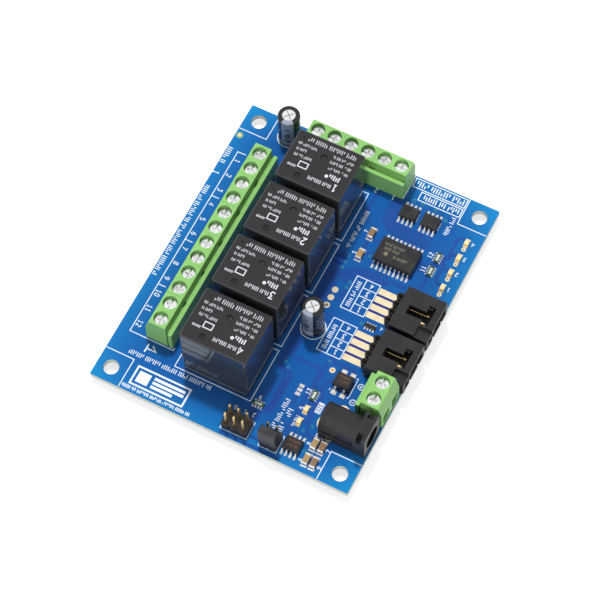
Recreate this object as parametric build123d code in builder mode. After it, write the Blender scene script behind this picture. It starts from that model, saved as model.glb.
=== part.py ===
from build123d import *
from math import cos, radians, sin
import os

# Relay module board: four sealed power relays, ten two-way screw terminals, two bus
# connectors, a barrel power jack, pin headers and surface-mount parts on one circuit board.
# Millimetres. The origin is the centre of the four mounting holes, on the board's underside.
# +X points to the edge with the power jack, +Y along the long side, +Z up from the board.

# Circuit board
BOARD_X = 76.2
BOARD_Y = 92.7
BOARD_T = 1.6
BOARD_CORNER_R = 0.4
MOUNT_SPACING_X = 67.8
MOUNT_SPACING_Y = 84.3
MOUNT_HOLE_D = 4.3
VIA_D = 0.5
PAD_T = 0.05
SEAT_Z = BOARD_T + PAD_T
PITCH = 2.54
LEAD_BELOW = 2.0

# Screw terminal module, two ways
WAY_PITCH = 5.08
WAYS_X = (-WAY_PITCH / 2, WAY_PITCH / 2)
MODULE_PITCH = 2 * WAY_PITCH
MODULE_GAP = 0.06
BLOCK_WIDTH = MODULE_PITCH - MODULE_GAP
BLOCK_HEIGHT = 10.0
BLOCK_FRONT = 3.75
BLOCK_BACK = 4.2
BLOCK_DRAFT = 0.1
BLOCK_TOP_FRONT = 2.4
BLOCK_TOP_BACK = 2.5
BLOCK_CHAMFER_Z = BLOCK_HEIGHT - 3.8
SHELF_Z = BLOCK_HEIGHT - 2.8
SHELF_IN = 2.62
SLOT_WIDTH = 0.45
SLOT_DEEP = 0.9
WINDOW_WIDTH = 3.7
WINDOW_LOW = 0.9
WINDOW_R = 0.6
CAVITY_WIDTH = 4.1
CAVITY_FRONT = 2.1
CAVITY_BACK = 2.6
CAVITY_LOW = 0.8
SCREW_HOLE_D = 3.95
SCREW_WELL = 3.0
SCREW_SEAT_T = 0.8
SCREW_SEAT_Z = BLOCK_HEIGHT - SCREW_WELL
CAVITY_HIGH = SCREW_SEAT_Z - SCREW_SEAT_T
WINDOW_HIGH = CAVITY_HIGH - 1.0
SCREW_NECK_D = 2.8
SCREW_HEAD_D = 3.5
SCREW_HEAD_H = 1.7
SCREW_SHANK_D = 2.4
THREAD_PLAY = 0.06
CROSS_WIDTH = 0.55
CROSS_LENGTH = 2.2
CROSS_DEEP = 0.8
CAGE_WIDTH = 3.7
CAGE_FRONT = 1.8
CAGE_BACK = 1.6
CAGE_WALL = 0.6
CAGE_LOW = 0.9
CAGE_HIGH = CAVITY_HIGH - 0.5
LEG_WIDTH = 1.0
LEG_THICK = 0.7
LEG_Y = -2.1
TONGUE_Z = 3.7
TONGUE_WIDTH = 2.1
TONGUE_FRONT = 1.1
TERMINAL_HOLE_D = 1.4
SCREW_LENGTH = SCREW_SEAT_Z - TONGUE_Z

# Where the terminal modules stand: screw line, first way and number of modules
RELAY_ROW_X = -26.1
RELAY_ROW_Y = 0.4
RELAY_MODULES = 6
INPUT_ROW_Y = 42.15
INPUT_ROW_X = -2.6
INPUT_MODULES = 3
POWER_X = 34.1
POWER_Y = -20.6

# Relay
RELAY_COUNT = 4
RELAY_PITCH = 17.78
RELAY_X = -6.95
RELAY_FIRST_Y = 27.15
COVER_X = 19.4
COVER_Y = 15.5
COVER_TOP = 20.5
COVER_WALL = 1.0
COVER_FOOT = 0.3
COVER_BAND = 4.6
BAND_STEP = 0.12
COVER_CORNER_R = 0.5
COVER_EDGE = 0.3
GATE_D = 2.2
GATE_Y = 2.4
DIMPLE_X = -3.9
DIMPLE_Y = -5.6
DIMPLE_DEEP = 0.4
VENT_D = 0.6
VENT_X = -7.6
VENT_Y = 5.7
BASE_LOW = 0.5
BASE_HIGH = 3.2
FOOT_D = 1.2
YOKE_T = 1.2
YOKE_WIDTH = 9.0
YOKE_BACK_X = -8.2
YOKE_TOP = 14.0
COIL_X = -2.2
YOKE_FRONT_X = 2.2
CORE_D = 3.6
POLE_D = 6.4
POLE_T = 0.6
FLANGE_SIZE = 9.4
FLANGE_T = 0.8
COIL_D = 8.8
BOBBIN_WALL = 0.5
COIL_TOP = 12.2
ARMATURE_GAP = 0.15
ARMATURE_T = 1.1
ARMATURE_WIDTH = 8.4
ARMATURE_FRONT_X = 1.8
BLADE_T = 0.3
BLADE_WIDTH = 3.2
BLADE_BACK_X = -6.0
RIVETS_X = (-3.4, -0.6)
RIVET_D = 1.2
RIVET_H = 0.4
CONTACT_X = 6.4
CONTACT_D = 2.2
CONTACT_T = 0.6
CLOSED_GAP = 0.12
OPEN_GAP = 0.85
TERMINAL_T = 0.6
TERMINAL_W = 1.0
STRIP_W = 3.0
STRIP_X = 8.0
STRIP_Y = 4.6
COIL_PIN_X = 4.2
COIL_PIN_Y = 5.0
COIL_PIN_W = 0.6
COIL_PIN_TOP = 5.2
RELAY_HOLE_D = 1.4
COVER_INNER_TOP = COVER_TOP - COVER_WALL

# Electrolytic capacitors
CAP_D = 6.3
CAP_HEIGHT = 11.8
CAP_SHOULDER = 0.6
CAP_SLEEVE_T = 0.15
CAP_LIP_R = 1.85
CAP_BEAD_Z = 1.9
CAP_BEAD_IN = 0.35
CAP_BEAD_HALF = 0.45
CAP_SCORE_LENGTH = 3.2
CAP_SCORE_W = 0.25
CAP_SCORE_DEEP = 0.15
CAP_SITES = [(-24.0, 41.7), (8.6, -7.84)]
CAP_STAND = [0, 1.0]
CAP_LEAD_D = 0.5
CAP_LEAD_PITCH = 2.5
CAP_HOLE_D = 0.8

# Barrel power jack, bore along +X
JACK_FRONT_X = 37.6
JACK_Y = -31.25
JACK_LENGTH = 13.7
JACK_WIDTH = 8.7
JACK_HEIGHT = 10.2
JACK_FLANGE = 3.4
JACK_CORNER_R = 0.6
JACK_AXIS_Z = 5.2
JACK_BARREL_D = 8.0
JACK_BORE_D = 6.2
JACK_BORE_DEEP = 10.2
JACK_PIN_D = 2.1
JACK_PIN_RECESS = 1.2
JACK_PIN_TIP_R = 0.5
JACK_BASE_WIDTH = 8.2
JACK_BASE_H = 3.4
JACK_NECK_WIDTH = 6.0
JACK_NOTCH_X = 1.5
JACK_NOTCH_BACK = 1.1
JACK_NOTCH_Y = 2.0
JACK_NOTCH_Z = 3.0
JACK_LEG_W = 2.4
JACK_LEG_T = 0.6
JACK_LEAF_T = 0.3
JACK_LEAF_END = 2.0
JACK_HOLE_D = 3.0
JACK_PAD_D = 5.0
JACK_REAR_LEG = 13.2
JACK_MID_LEG = 7.7
JACK_SIDE_LEG = 10.9
JACK_SIDE_OUT = 3.25
JACK_SIDE_W = 1.2
JACK_SIDE_T = 0.5
JACK_SIDE_NOTCH = 2.2
JACK_SIDE_Z = 2.4
JACK_SIDE_HOLE_D = 1.6
JACK_SIDE_PAD_D = 2.1
JACK_SPARE_OUT = 4.85
JACK_SPARE_HOLE_D = 2.2
JACK_SPARE_PAD_D = 4.0

# Bus connectors, openings along +X
BUS_Y = [6.1, -7.87]
BUS_WAYS = 4
BUS_FRONT_X = 38.5
BUS_REAR_X = 27.15
BUS_LEDGE_X = 24.7
BUS_PIN_X = 25.6
BUS_HEIGHT = 5.84
BUS_LEDGE_Z = 2.6
BUS_LEFT = 5.95
BUS_RIGHT = 6.65
BUS_WALL = 1.0
BUS_ROOF = 0.85
BUS_FLOOR = 0.9
BUS_BACK = 2.4
BUS_NOTCH_X = 34.5
BUS_NOTCH_Y = 3.3
BUS_NOTCH_DROP = 1.1
BUS_SLOT_X = 29.65
BUS_SLOT_LOW = -1.65
BUS_SLOT_HIGH = 1.1
BUS_WINDOW_X = 34.55
BUS_WINDOW_END = 36.65
BUS_WINDOW_LOW = -2.8
BUS_WINDOW_HIGH = 3.2
BUS_GAP = 0.9
BUS_GAP_DEEP = 1.6
BUS_BUMP_R = 0.95
BUS_LEDGE_IN = 0.6
BUS_BOSS_X = 26.2
BUS_PIN = 0.64
BUS_PIN_Z = 3.0
BUS_PIN_TIP_X = 35.3
BUS_HOLE_D = 1.0
PAD_LENGTH = 7.2
PAD_REAR_X = 19.4
PAD_WIDTH = 1.8

# Pin headers and the jumper shunt
HEADER_Y = -42.0
ADDRESS_X = 3.84
PULLUP_X = 13.71
HEADER_BASE_H = 2.5
HEADER_NOTCH = 0.5
ADDRESS_COLUMNS = 3
PULLUP_COLUMNS = 2
PIN_SQUARE = 0.64
PIN_ABOVE = 5.6
PIN_TIP = 0.4
PIN_TIP_TAPER = 25
PIN_HOLE_D = 1.0
SHUNT_X = 5.0
SHUNT_Y = 2.42
SHUNT_H = 6.2
SHUNT_CAP_H = 1.3
SHUNT_CAP_GAP = 0.12
SHUNT_GROOVE = 0.12
SHUNT_EDGE = 0.2
CLIP_WALL = 0.2
CLIP_LOW = 0.4
CLIP_HEIGHT = 4.2
PIN_PLAY = 0.05
SHUNT_ROW_Y = HEADER_Y - PITCH / 2

# Surface-mount chips
CHIP_LIFT = 0.1
LEAD_PITCH = 1.27
LEAD_W = 0.42
LEAD_T = 0.2
SMALL_CHIP_X = 4.9
SMALL_CHIP_Y = 3.9
SMALL_CHIP_H = 1.5
SMALL_CHIP_WAYS = 4
SMALL_CHIP_SPAN = 6.0
SMALL_CHIPS = [(16.37, 34.43), (22.76, 34.43), (19.44, -40.76)]
LARGE_CHIP_X = 11.55
LARGE_CHIP_Y = 7.5
LARGE_CHIP_H = 2.35
LARGE_CHIP_WAYS = 9
LARGE_CHIP_SPAN = 10.3
LARGE_CHIP = (19.42, 20.8)
CHIP_TAPER = 7
CHIP_DOT_IN = 0.9
CHIP_DOT_D = 0.7
CHIP_DOT_DEEP = 0.08
LEAD_SHOULDER = 0.25
LEAD_FOOT = 0.65
RECTIFIER = (23.2, -19.0)
RECTIFIER_X = 4.8
RECTIFIER_Y = 4.0
RECTIFIER_H = 2.4
RECTIFIER_SPAN = 6.9
RECTIFIER_WAYS = 2
RECTIFIER_PITCH = 2.54
RECTIFIER_LEAD_W = 0.7

# Small surface-mount parts: their centres, and for the resistor arrays the turn in degrees too
CERAMIC_LENGTH = 3.2
CERAMIC_WIDTH = 1.7
CERAMIC_H = 1.3
CERAMIC_END = 0.5
CERAMICS = [(9.96, 24.44), (9.96, 17.31), (24.41, -37.9), (26.62, -37.9), (24.41, -42.7), (26.62, -42.7)]
ARRAY_LENGTH = 3.2
ARRAY_WIDTH = 1.6
ARRAY_H = 0.5
ARRAY_WAYS = 4
ARRAY_PITCH = 0.8
ARRAY_END_W = 0.45
ARRAY_END = 0.3
ARRAYS = [(29.18, 25.8, 90), (29.13, 21.3, 90), (17.88, -25.5, 90), (5.93, -34.2, 0), (22.1, -0.95, 0)]
LIGHT_LENGTH = 2.1
LIGHT_WIDTH = 1.35
LIGHT_H = 0.35
LIGHT_LENS_H = 0.45
LIGHT_LENS = 1.3
LIGHT_END = 0.35
LENS_TAPER = 12
LIGHTS = [(34.2, 33.42), (34.2, 28.34), (34.2, 23.26), (34.2, 18.18), (17.88, -29.98), (17.78, -33.83)]

# Solder: pads under the small parts, and a fillet round each lead below the board
SOLDER_PAD_W = 0.65
SOLDER_PAD_L = 1.5
RECTIFIER_PAD = 1.5
CERAMIC_PAD_W = 1.9
CERAMIC_PAD_L = 1.0
ARRAY_PAD_L = 0.7
FILLET_OUT = 0.4
FILLET_H = 0.9
FILLET_TAPER = 18

# Bare plated holes and pads
RING_VIA_X = 34.25
RING_VIA_BELOW = 2.1
RING_VIAS = [(RING_VIA_X, y - RING_VIA_BELOW) for x, y in LIGHTS[:4]]
TEST_PADS = [(8.68, 4.92), (8.68, 2.38), (8.68, -0.16)]
TEST_PAD_D = 1.8
TEST_HOLE_D = 1.0
PROBE_PAD = (18.83, -16.7)
PROBE_PAD_D = 1.6
RING_D = 1.25
FIDUCIAL = (-36.76, 36.06)
FIDUCIAL_D = 1.0
JUMPER_PADS = (13.71, -25.6)
JUMPER_PAD_COUNT = 3
JUMPER_PAD_PITCH = 1.27
JUMPER_PAD_W = 1.4
JUMPER_PAD_L = 0.9
VIAS = [
    (15.7, 39.1), (18.3, 39.1), (22.2, 39.0), (26.0, 37.2), (12.5, 18.3), (7.4, 15.7),
    (7.4, 13.7), (7.4, 11.9), (11.1, 8.7), (11.1, 6.8), (19.5, -0.85), (17.0, -14.7),
    (6.7, -19.8), (8.0, -21.1), (21.4, -33.7), (19.9, -35.6), (22.8, -40.8),
]


def outward(x, y, z, angle):
    """A plane whose own x points out along the board at this angle and whose own y is up."""
    a = radians(angle)
    return Plane(origin=(x, y, z), x_dir=(cos(a), sin(a), 0), z_dir=(sin(a), -cos(a), 0))


def turned(x, y, z, angle):
    """A level plane with its own x turned by this angle."""
    a = radians(angle)
    return Plane(origin=(x, y, z), x_dir=(cos(a), sin(a), 0), z_dir=(0, 0, 1))


def level(plane, height):
    return plane.offset(height)


def across(plane, along):
    """The plane of a terminal module's section: own x towards the wire entry, own y up."""
    place = plane.origin + plane.x_dir * along
    return Plane(origin=place, x_dir=plane.y_dir, z_dir=plane.x_dir)


def spot(plane, x, y):
    place = plane.from_local_coords((x, y, 0))
    return (place.X, place.Y)


def save(builder, label):
    builder.part.label = label
    export_step(builder.part, f"parts/{label}.step")


# Terminal modules: own x runs along the row and own y points to the wire entry
def module_planes(x, y, angle, count):
    first = -(count - 1) / 2 * MODULE_PITCH
    row = turned(x, y, BOARD_T, angle)
    return [turned(*spot(row, first + i * MODULE_PITCH, 0), BOARD_T, angle) for i in range(count)]


RELAY_BLOCKS = module_planes(RELAY_ROW_X, RELAY_ROW_Y, 90, RELAY_MODULES)
INPUT_BLOCKS = module_planes(INPUT_ROW_X, INPUT_ROW_Y, 0, INPUT_MODULES)
POWER_BLOCKS = module_planes(POWER_X, POWER_Y, -90, 1)
ALL_BLOCKS = RELAY_BLOCKS + INPUT_BLOCKS + POWER_BLOCKS
WAY_PLANES = [
    Plane(origin=block.from_local_coords((x, 0, 0)), x_dir=block.x_dir, z_dir=(0, 0, 1))
    for block in ALL_BLOCKS for x in WAYS_X
]

# Relays: each has its own plane on the board's top
RELAYS = [turned(RELAY_X, RELAY_FIRST_Y - i * RELAY_PITCH, BOARD_T, 0) for i in range(RELAY_COUNT)]
ARMATURE_Z = YOKE_TOP + ARMATURE_GAP
BLADE_Z = ARMATURE_Z + ARMATURE_T
YOKE_PIN = (YOKE_BACK_X + YOKE_T / 2, 0)
STRIPS = [(STRIP_X, -STRIP_Y), (STRIP_X, STRIP_Y)]
COIL_PINS = [(COIL_PIN_X, -COIL_PIN_Y), (COIL_PIN_X, COIL_PIN_Y)]

# Other leads that pass through the board
CAP_LEADS = [(x, y + side * CAP_LEAD_PITCH / 2) for x, y in CAP_SITES for side in (-1, 1)]
BUS_ROWS = [(i - (BUS_WAYS - 1) / 2) * PITCH for i in range(BUS_WAYS)]
BUS_PINS = [(BUS_PIN_X, y + row) for y in BUS_Y for row in BUS_ROWS]
JACK_REAR = (JACK_FRONT_X - JACK_REAR_LEG, JACK_Y)
JACK_MID = (JACK_FRONT_X - JACK_MID_LEG, JACK_Y)
JACK_SIDE = (JACK_FRONT_X - JACK_SIDE_LEG, JACK_Y - JACK_SIDE_OUT)
JACK_SPARE = (JACK_FRONT_X - JACK_SIDE_LEG, JACK_Y + JACK_SPARE_OUT)
PIN_COLUMNS = [
    centre + (i - (columns - 1) / 2) * PITCH
    for centre, columns in ((ADDRESS_X, ADDRESS_COLUMNS), (PULLUP_X, PULLUP_COLUMNS))
    for i in range(columns)
]
HEADER_PINS = [(x, HEADER_Y + side * PITCH / 2) for x in PIN_COLUMNS for side in (-1, 1)]

# Every kind of lead: planes on the board's top, places on them, cross-section, hole in the board
TOP = [Plane.XY.offset(BOARD_T)]
LEADS = [
    (WAY_PLANES, [(0, LEG_Y)], (LEG_WIDTH, LEG_THICK), TERMINAL_HOLE_D),
    (RELAYS, [YOKE_PIN, *STRIPS], (TERMINAL_T, TERMINAL_W), RELAY_HOLE_D),
    (RELAYS, COIL_PINS, (COIL_PIN_W, COIL_PIN_W), RELAY_HOLE_D),
    (TOP, CAP_LEADS, (CAP_LEAD_D,), CAP_HOLE_D),
    (TOP, BUS_PINS, (BUS_PIN, BUS_PIN), BUS_HOLE_D),
    (TOP, [JACK_REAR, JACK_MID], (JACK_LEG_T, JACK_LEG_W), JACK_HOLE_D),
    (TOP, [JACK_SIDE], (JACK_SIDE_W, JACK_SIDE_T), JACK_SIDE_HOLE_D),
    (TOP, HEADER_PINS, (PIN_SQUARE, PIN_SQUARE), PIN_HOLE_D),
]
BARE_HOLES = [(VIAS + RING_VIAS, VIA_D), (TEST_PADS, TEST_HOLE_D), ([JACK_SPARE], JACK_SPARE_HOLE_D)]


def make_board():
    with BuildPart() as board:
        with BuildSketch():
            RectangleRounded(BOARD_X, BOARD_Y, BOARD_CORNER_R)
            with GridLocations(MOUNT_SPACING_X, MOUNT_SPACING_Y, 2, 2):
                Circle(MOUNT_HOLE_D / 2, mode=Mode.SUBTRACT)
            for places, diameter in BARE_HOLES:
                with Locations(*places):
                    Circle(diameter / 2, mode=Mode.SUBTRACT)
        extrude(amount=BOARD_T)
        for planes, places, size, diameter in LEADS:
            with BuildSketch(*planes):
                with Locations(*places):
                    Circle(diameter / 2)
            extrude(amount=-BOARD_T, mode=Mode.SUBTRACT)
    save(board, "circuit_board")


def make_pads():
    with BuildPart() as pads:
        with BuildSketch(Plane.XY.offset(BOARD_T)):
            for y in BUS_Y:
                with Locations((PAD_REAR_X + PAD_LENGTH / 2, y)):
                    with GridLocations(0, PITCH, 1, BUS_WAYS):
                        Rectangle(PAD_LENGTH, PAD_WIDTH)
            with Locations(*BUS_PINS):
                Circle(BUS_HOLE_D / 2, mode=Mode.SUBTRACT)
            with Locations(*TEST_PADS):
                Circle(TEST_PAD_D / 2)
                Circle(TEST_HOLE_D / 2, mode=Mode.SUBTRACT)
            with Locations(*RING_VIAS):
                Circle(RING_D / 2)
                Circle(VIA_D / 2, mode=Mode.SUBTRACT)
            with Locations(PROBE_PAD):
                Circle(PROBE_PAD_D / 2)
            with Locations(FIDUCIAL):
                Circle(FIDUCIAL_D / 2)
            for places, pad, hole in (
                ([JACK_REAR, JACK_MID], JACK_PAD_D, JACK_HOLE_D),
                ([JACK_SIDE], JACK_SIDE_PAD_D, JACK_SIDE_HOLE_D),
                ([JACK_SPARE], JACK_SPARE_PAD_D, JACK_SPARE_HOLE_D),
            ):
                with Locations(*places):
                    Circle(pad / 2)
                    Circle(hole / 2, mode=Mode.SUBTRACT)
        extrude(amount=PAD_T)
    save(pads, "exposed_pads")


def make_block(plane, label):
    """One two-way terminal housing: a stepped section, screw wells and wire windows."""
    ways = [(x, 0) for x in WAYS_X]
    entry = Plane(origin=plane.origin + plane.y_dir * BLOCK_FRONT, x_dir=-plane.x_dir, z_dir=plane.y_dir)
    with BuildPart() as block:
        with BuildSketch(across(plane, -BLOCK_WIDTH / 2)):
            with BuildLine():
                Polyline(
                    (BLOCK_FRONT, 0), (BLOCK_FRONT - BLOCK_DRAFT, BLOCK_CHAMFER_Z),
                    (BLOCK_TOP_FRONT, BLOCK_HEIGHT), (-BLOCK_TOP_BACK, BLOCK_HEIGHT),
                    (-SHELF_IN, SHELF_Z), (-BLOCK_BACK, SHELF_Z), (-BLOCK_BACK, 0), close=True,
                )
            make_face()
        extrude(amount=BLOCK_WIDTH)
        with BuildSketch(level(plane, 0)):
            with GridLocations(BLOCK_WIDTH, 0, 2, 1):
                with Locations((0, -SHELF_IN - SLOT_WIDTH / 2)):
                    Rectangle(2 * SLOT_DEEP, SLOT_WIDTH)
        extrude(amount=SHELF_Z, mode=Mode.SUBTRACT)
        with BuildSketch(level(plane, CAVITY_LOW)):
            with Locations(*ways):
                with Locations((0, (CAVITY_FRONT - CAVITY_BACK) / 2)):
                    Rectangle(CAVITY_WIDTH, CAVITY_FRONT + CAVITY_BACK)
        extrude(amount=CAVITY_HIGH - CAVITY_LOW, mode=Mode.SUBTRACT)
        with BuildSketch(level(plane, 0)):
            with Locations(*ways):
                with Locations((0, LEG_Y)):
                    Rectangle(LEG_WIDTH, LEG_THICK)
        extrude(amount=CAVITY_LOW, mode=Mode.SUBTRACT)
        with BuildSketch(level(plane, CAVITY_HIGH)):
            with Locations(*ways):
                Circle(SCREW_NECK_D / 2)
        extrude(amount=SCREW_SEAT_Z - CAVITY_HIGH, mode=Mode.SUBTRACT)
        with BuildSketch(level(plane, SCREW_SEAT_Z)):
            with Locations(*ways):
                Circle(SCREW_HOLE_D / 2)
        extrude(amount=BLOCK_HEIGHT - SCREW_SEAT_Z, mode=Mode.SUBTRACT)
        with BuildSketch(entry):
            with Locations(*ways):
                with Locations((0, (WINDOW_LOW + WINDOW_HIGH) / 2)):
                    RectangleRounded(WINDOW_WIDTH, WINDOW_HIGH - WINDOW_LOW, WINDOW_R)
        extrude(amount=-(BLOCK_FRONT - CAVITY_FRONT), mode=Mode.SUBTRACT)
    save(block, label)


def make_terminal_metal():
    """Screws, rising cages and solder tongues of all the terminal ways."""
    with BuildPart() as screws:
        with BuildSketch(*[level(way, TONGUE_Z) for way in WAY_PLANES]):
            Circle(SCREW_SHANK_D / 2)
        extrude(amount=SCREW_LENGTH)
        with BuildSketch(*[level(way, SCREW_SEAT_Z) for way in WAY_PLANES]):
            Circle(SCREW_HEAD_D / 2)
        extrude(amount=SCREW_HEAD_H)
        with BuildSketch(*[level(way, SCREW_SEAT_Z + SCREW_HEAD_H) for way in WAY_PLANES]):
            Rectangle(SCREW_HEAD_D, CROSS_WIDTH)
            Rectangle(CROSS_WIDTH, CROSS_LENGTH)
        extrude(amount=-CROSS_DEEP, mode=Mode.SUBTRACT)
    save(screws, "terminal_screws")
    cage_depth = CAGE_FRONT + CAGE_BACK
    with BuildPart() as cages:
        with BuildSketch(*[across(way, -CAGE_WIDTH / 2) for way in WAY_PLANES]):
            with Locations(((CAGE_FRONT - CAGE_BACK) / 2, (CAGE_LOW + CAGE_HIGH) / 2)):
                Rectangle(cage_depth, CAGE_HIGH - CAGE_LOW)
        extrude(amount=CAGE_WIDTH)
        with BuildSketch(*[across(way, -CAGE_WIDTH / 2 + CAGE_WALL) for way in WAY_PLANES]):
            with Locations(((CAGE_FRONT - CAGE_BACK) / 2, (CAGE_LOW + CAGE_HIGH) / 2)):
                Rectangle(cage_depth, CAGE_HIGH - CAGE_LOW - 2 * CAGE_WALL)
        extrude(amount=CAGE_WIDTH - 2 * CAGE_WALL, mode=Mode.SUBTRACT)
        with BuildSketch(*[level(way, CAGE_HIGH - CAGE_WALL) for way in WAY_PLANES]):
            Circle(SCREW_SHANK_D / 2 + THREAD_PLAY)
        extrude(amount=CAGE_WALL, mode=Mode.SUBTRACT)
    save(cages, "terminal_cages")
    below = -BOARD_T - LEAD_BELOW
    leg_back = LEG_Y - LEG_THICK / 2
    with BuildPart() as tongues:
        with BuildSketch(*[level(way, below) for way in WAY_PLANES]):
            with Locations((0, LEG_Y)):
                Rectangle(LEG_WIDTH, LEG_THICK)
        extrude(amount=TONGUE_Z - below)
        with BuildSketch(*[level(way, TONGUE_Z - LEG_THICK) for way in WAY_PLANES]):
            with Locations((0, (TONGUE_FRONT + leg_back) / 2)):
                Rectangle(TONGUE_WIDTH, TONGUE_FRONT - leg_back)
        extrude(amount=LEG_THICK)
    save(tongues, "terminal_tongues")


def make_relay_case(plane, number):
    """A relay's cover, a shell with a shallow band round its foot, and the base that closes it."""
    inner_x = COVER_X - 2 * COVER_WALL
    inner_y = COVER_Y - 2 * COVER_WALL
    with BuildPart() as cover:
        with BuildSketch(level(plane, COVER_FOOT)):
            RectangleRounded(COVER_X - 2 * BAND_STEP, COVER_Y - 2 * BAND_STEP, COVER_CORNER_R)
        extrude(amount=COVER_BAND - COVER_FOOT)
        with BuildSketch(level(plane, COVER_BAND)):
            RectangleRounded(COVER_X, COVER_Y, COVER_CORNER_R)
        extrude(amount=COVER_TOP - COVER_BAND)
        chamfer(cover.faces().sort_by(Axis.Z)[-1].edges(), COVER_EDGE)
        with BuildSketch(level(plane, COVER_TOP)):
            with Locations((0, GATE_Y)):
                Circle(GATE_D / 2)
            with Locations((DIMPLE_X, DIMPLE_Y)):
                Circle(GATE_D / 2)
        extrude(amount=-DIMPLE_DEEP, mode=Mode.SUBTRACT)
        with BuildSketch(level(plane, COVER_TOP)):
            with Locations((VENT_X, VENT_Y)):
                Circle(VENT_D / 2)
        extrude(amount=-DIMPLE_DEEP, mode=Mode.SUBTRACT)
        with BuildSketch(level(plane, COVER_FOOT)):
            Rectangle(inner_x, inner_y)
        extrude(amount=COVER_INNER_TOP - COVER_FOOT, mode=Mode.SUBTRACT)
    save(cover, f"relay_cover_{number}")
    with BuildPart() as base:
        with BuildSketch(level(plane, BASE_LOW)):
            Rectangle(inner_x, inner_y)
            with Locations(YOKE_PIN, *STRIPS):
                Rectangle(TERMINAL_T, TERMINAL_W, mode=Mode.SUBTRACT)
            with Locations(*COIL_PINS):
                Rectangle(COIL_PIN_W, COIL_PIN_W, mode=Mode.SUBTRACT)
        extrude(amount=BASE_HIGH - BASE_LOW)
        with BuildSketch(level(plane, 0)):
            with GridLocations(inner_x - 2 * FOOT_D, inner_y - FOOT_D, 2, 2):
                Circle(FOOT_D / 2)
        extrude(amount=BASE_LOW)
    save(base, f"relay_base_{number}")


def make_armature(plane, number):
    """The moving armature: an iron plate over the yoke, and a contact blade riveted on top."""
    plate_x = ARMATURE_FRONT_X - YOKE_BACK_X
    blade_front = CONTACT_X + CONTACT_D / 2
    with BuildPart() as armature:
        with BuildSketch(level(plane, ARMATURE_Z)):
            with Locations((YOKE_BACK_X + plate_x / 2, 0)):
                Rectangle(plate_x, ARMATURE_WIDTH)
        extrude(amount=ARMATURE_T)
        with BuildSketch(level(plane, BLADE_Z)):
            with Locations(((BLADE_BACK_X + blade_front) / 2, 0)):
                Rectangle(blade_front - BLADE_BACK_X, BLADE_WIDTH)
        extrude(amount=BLADE_T)
        with BuildSketch(level(plane, BLADE_Z - CONTACT_T)):
            with Locations((CONTACT_X, 0)):
                Circle(CONTACT_D / 2)
        extrude(amount=2 * CONTACT_T + BLADE_T)
        with BuildSketch(level(plane, BLADE_Z + BLADE_T)):
            with Locations(*[(x, 0) for x in RIVETS_X]):
                Circle(RIVET_D / 2)
        extrude(amount=RIVET_H)
    save(armature, f"relay_armature_{number}")


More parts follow.
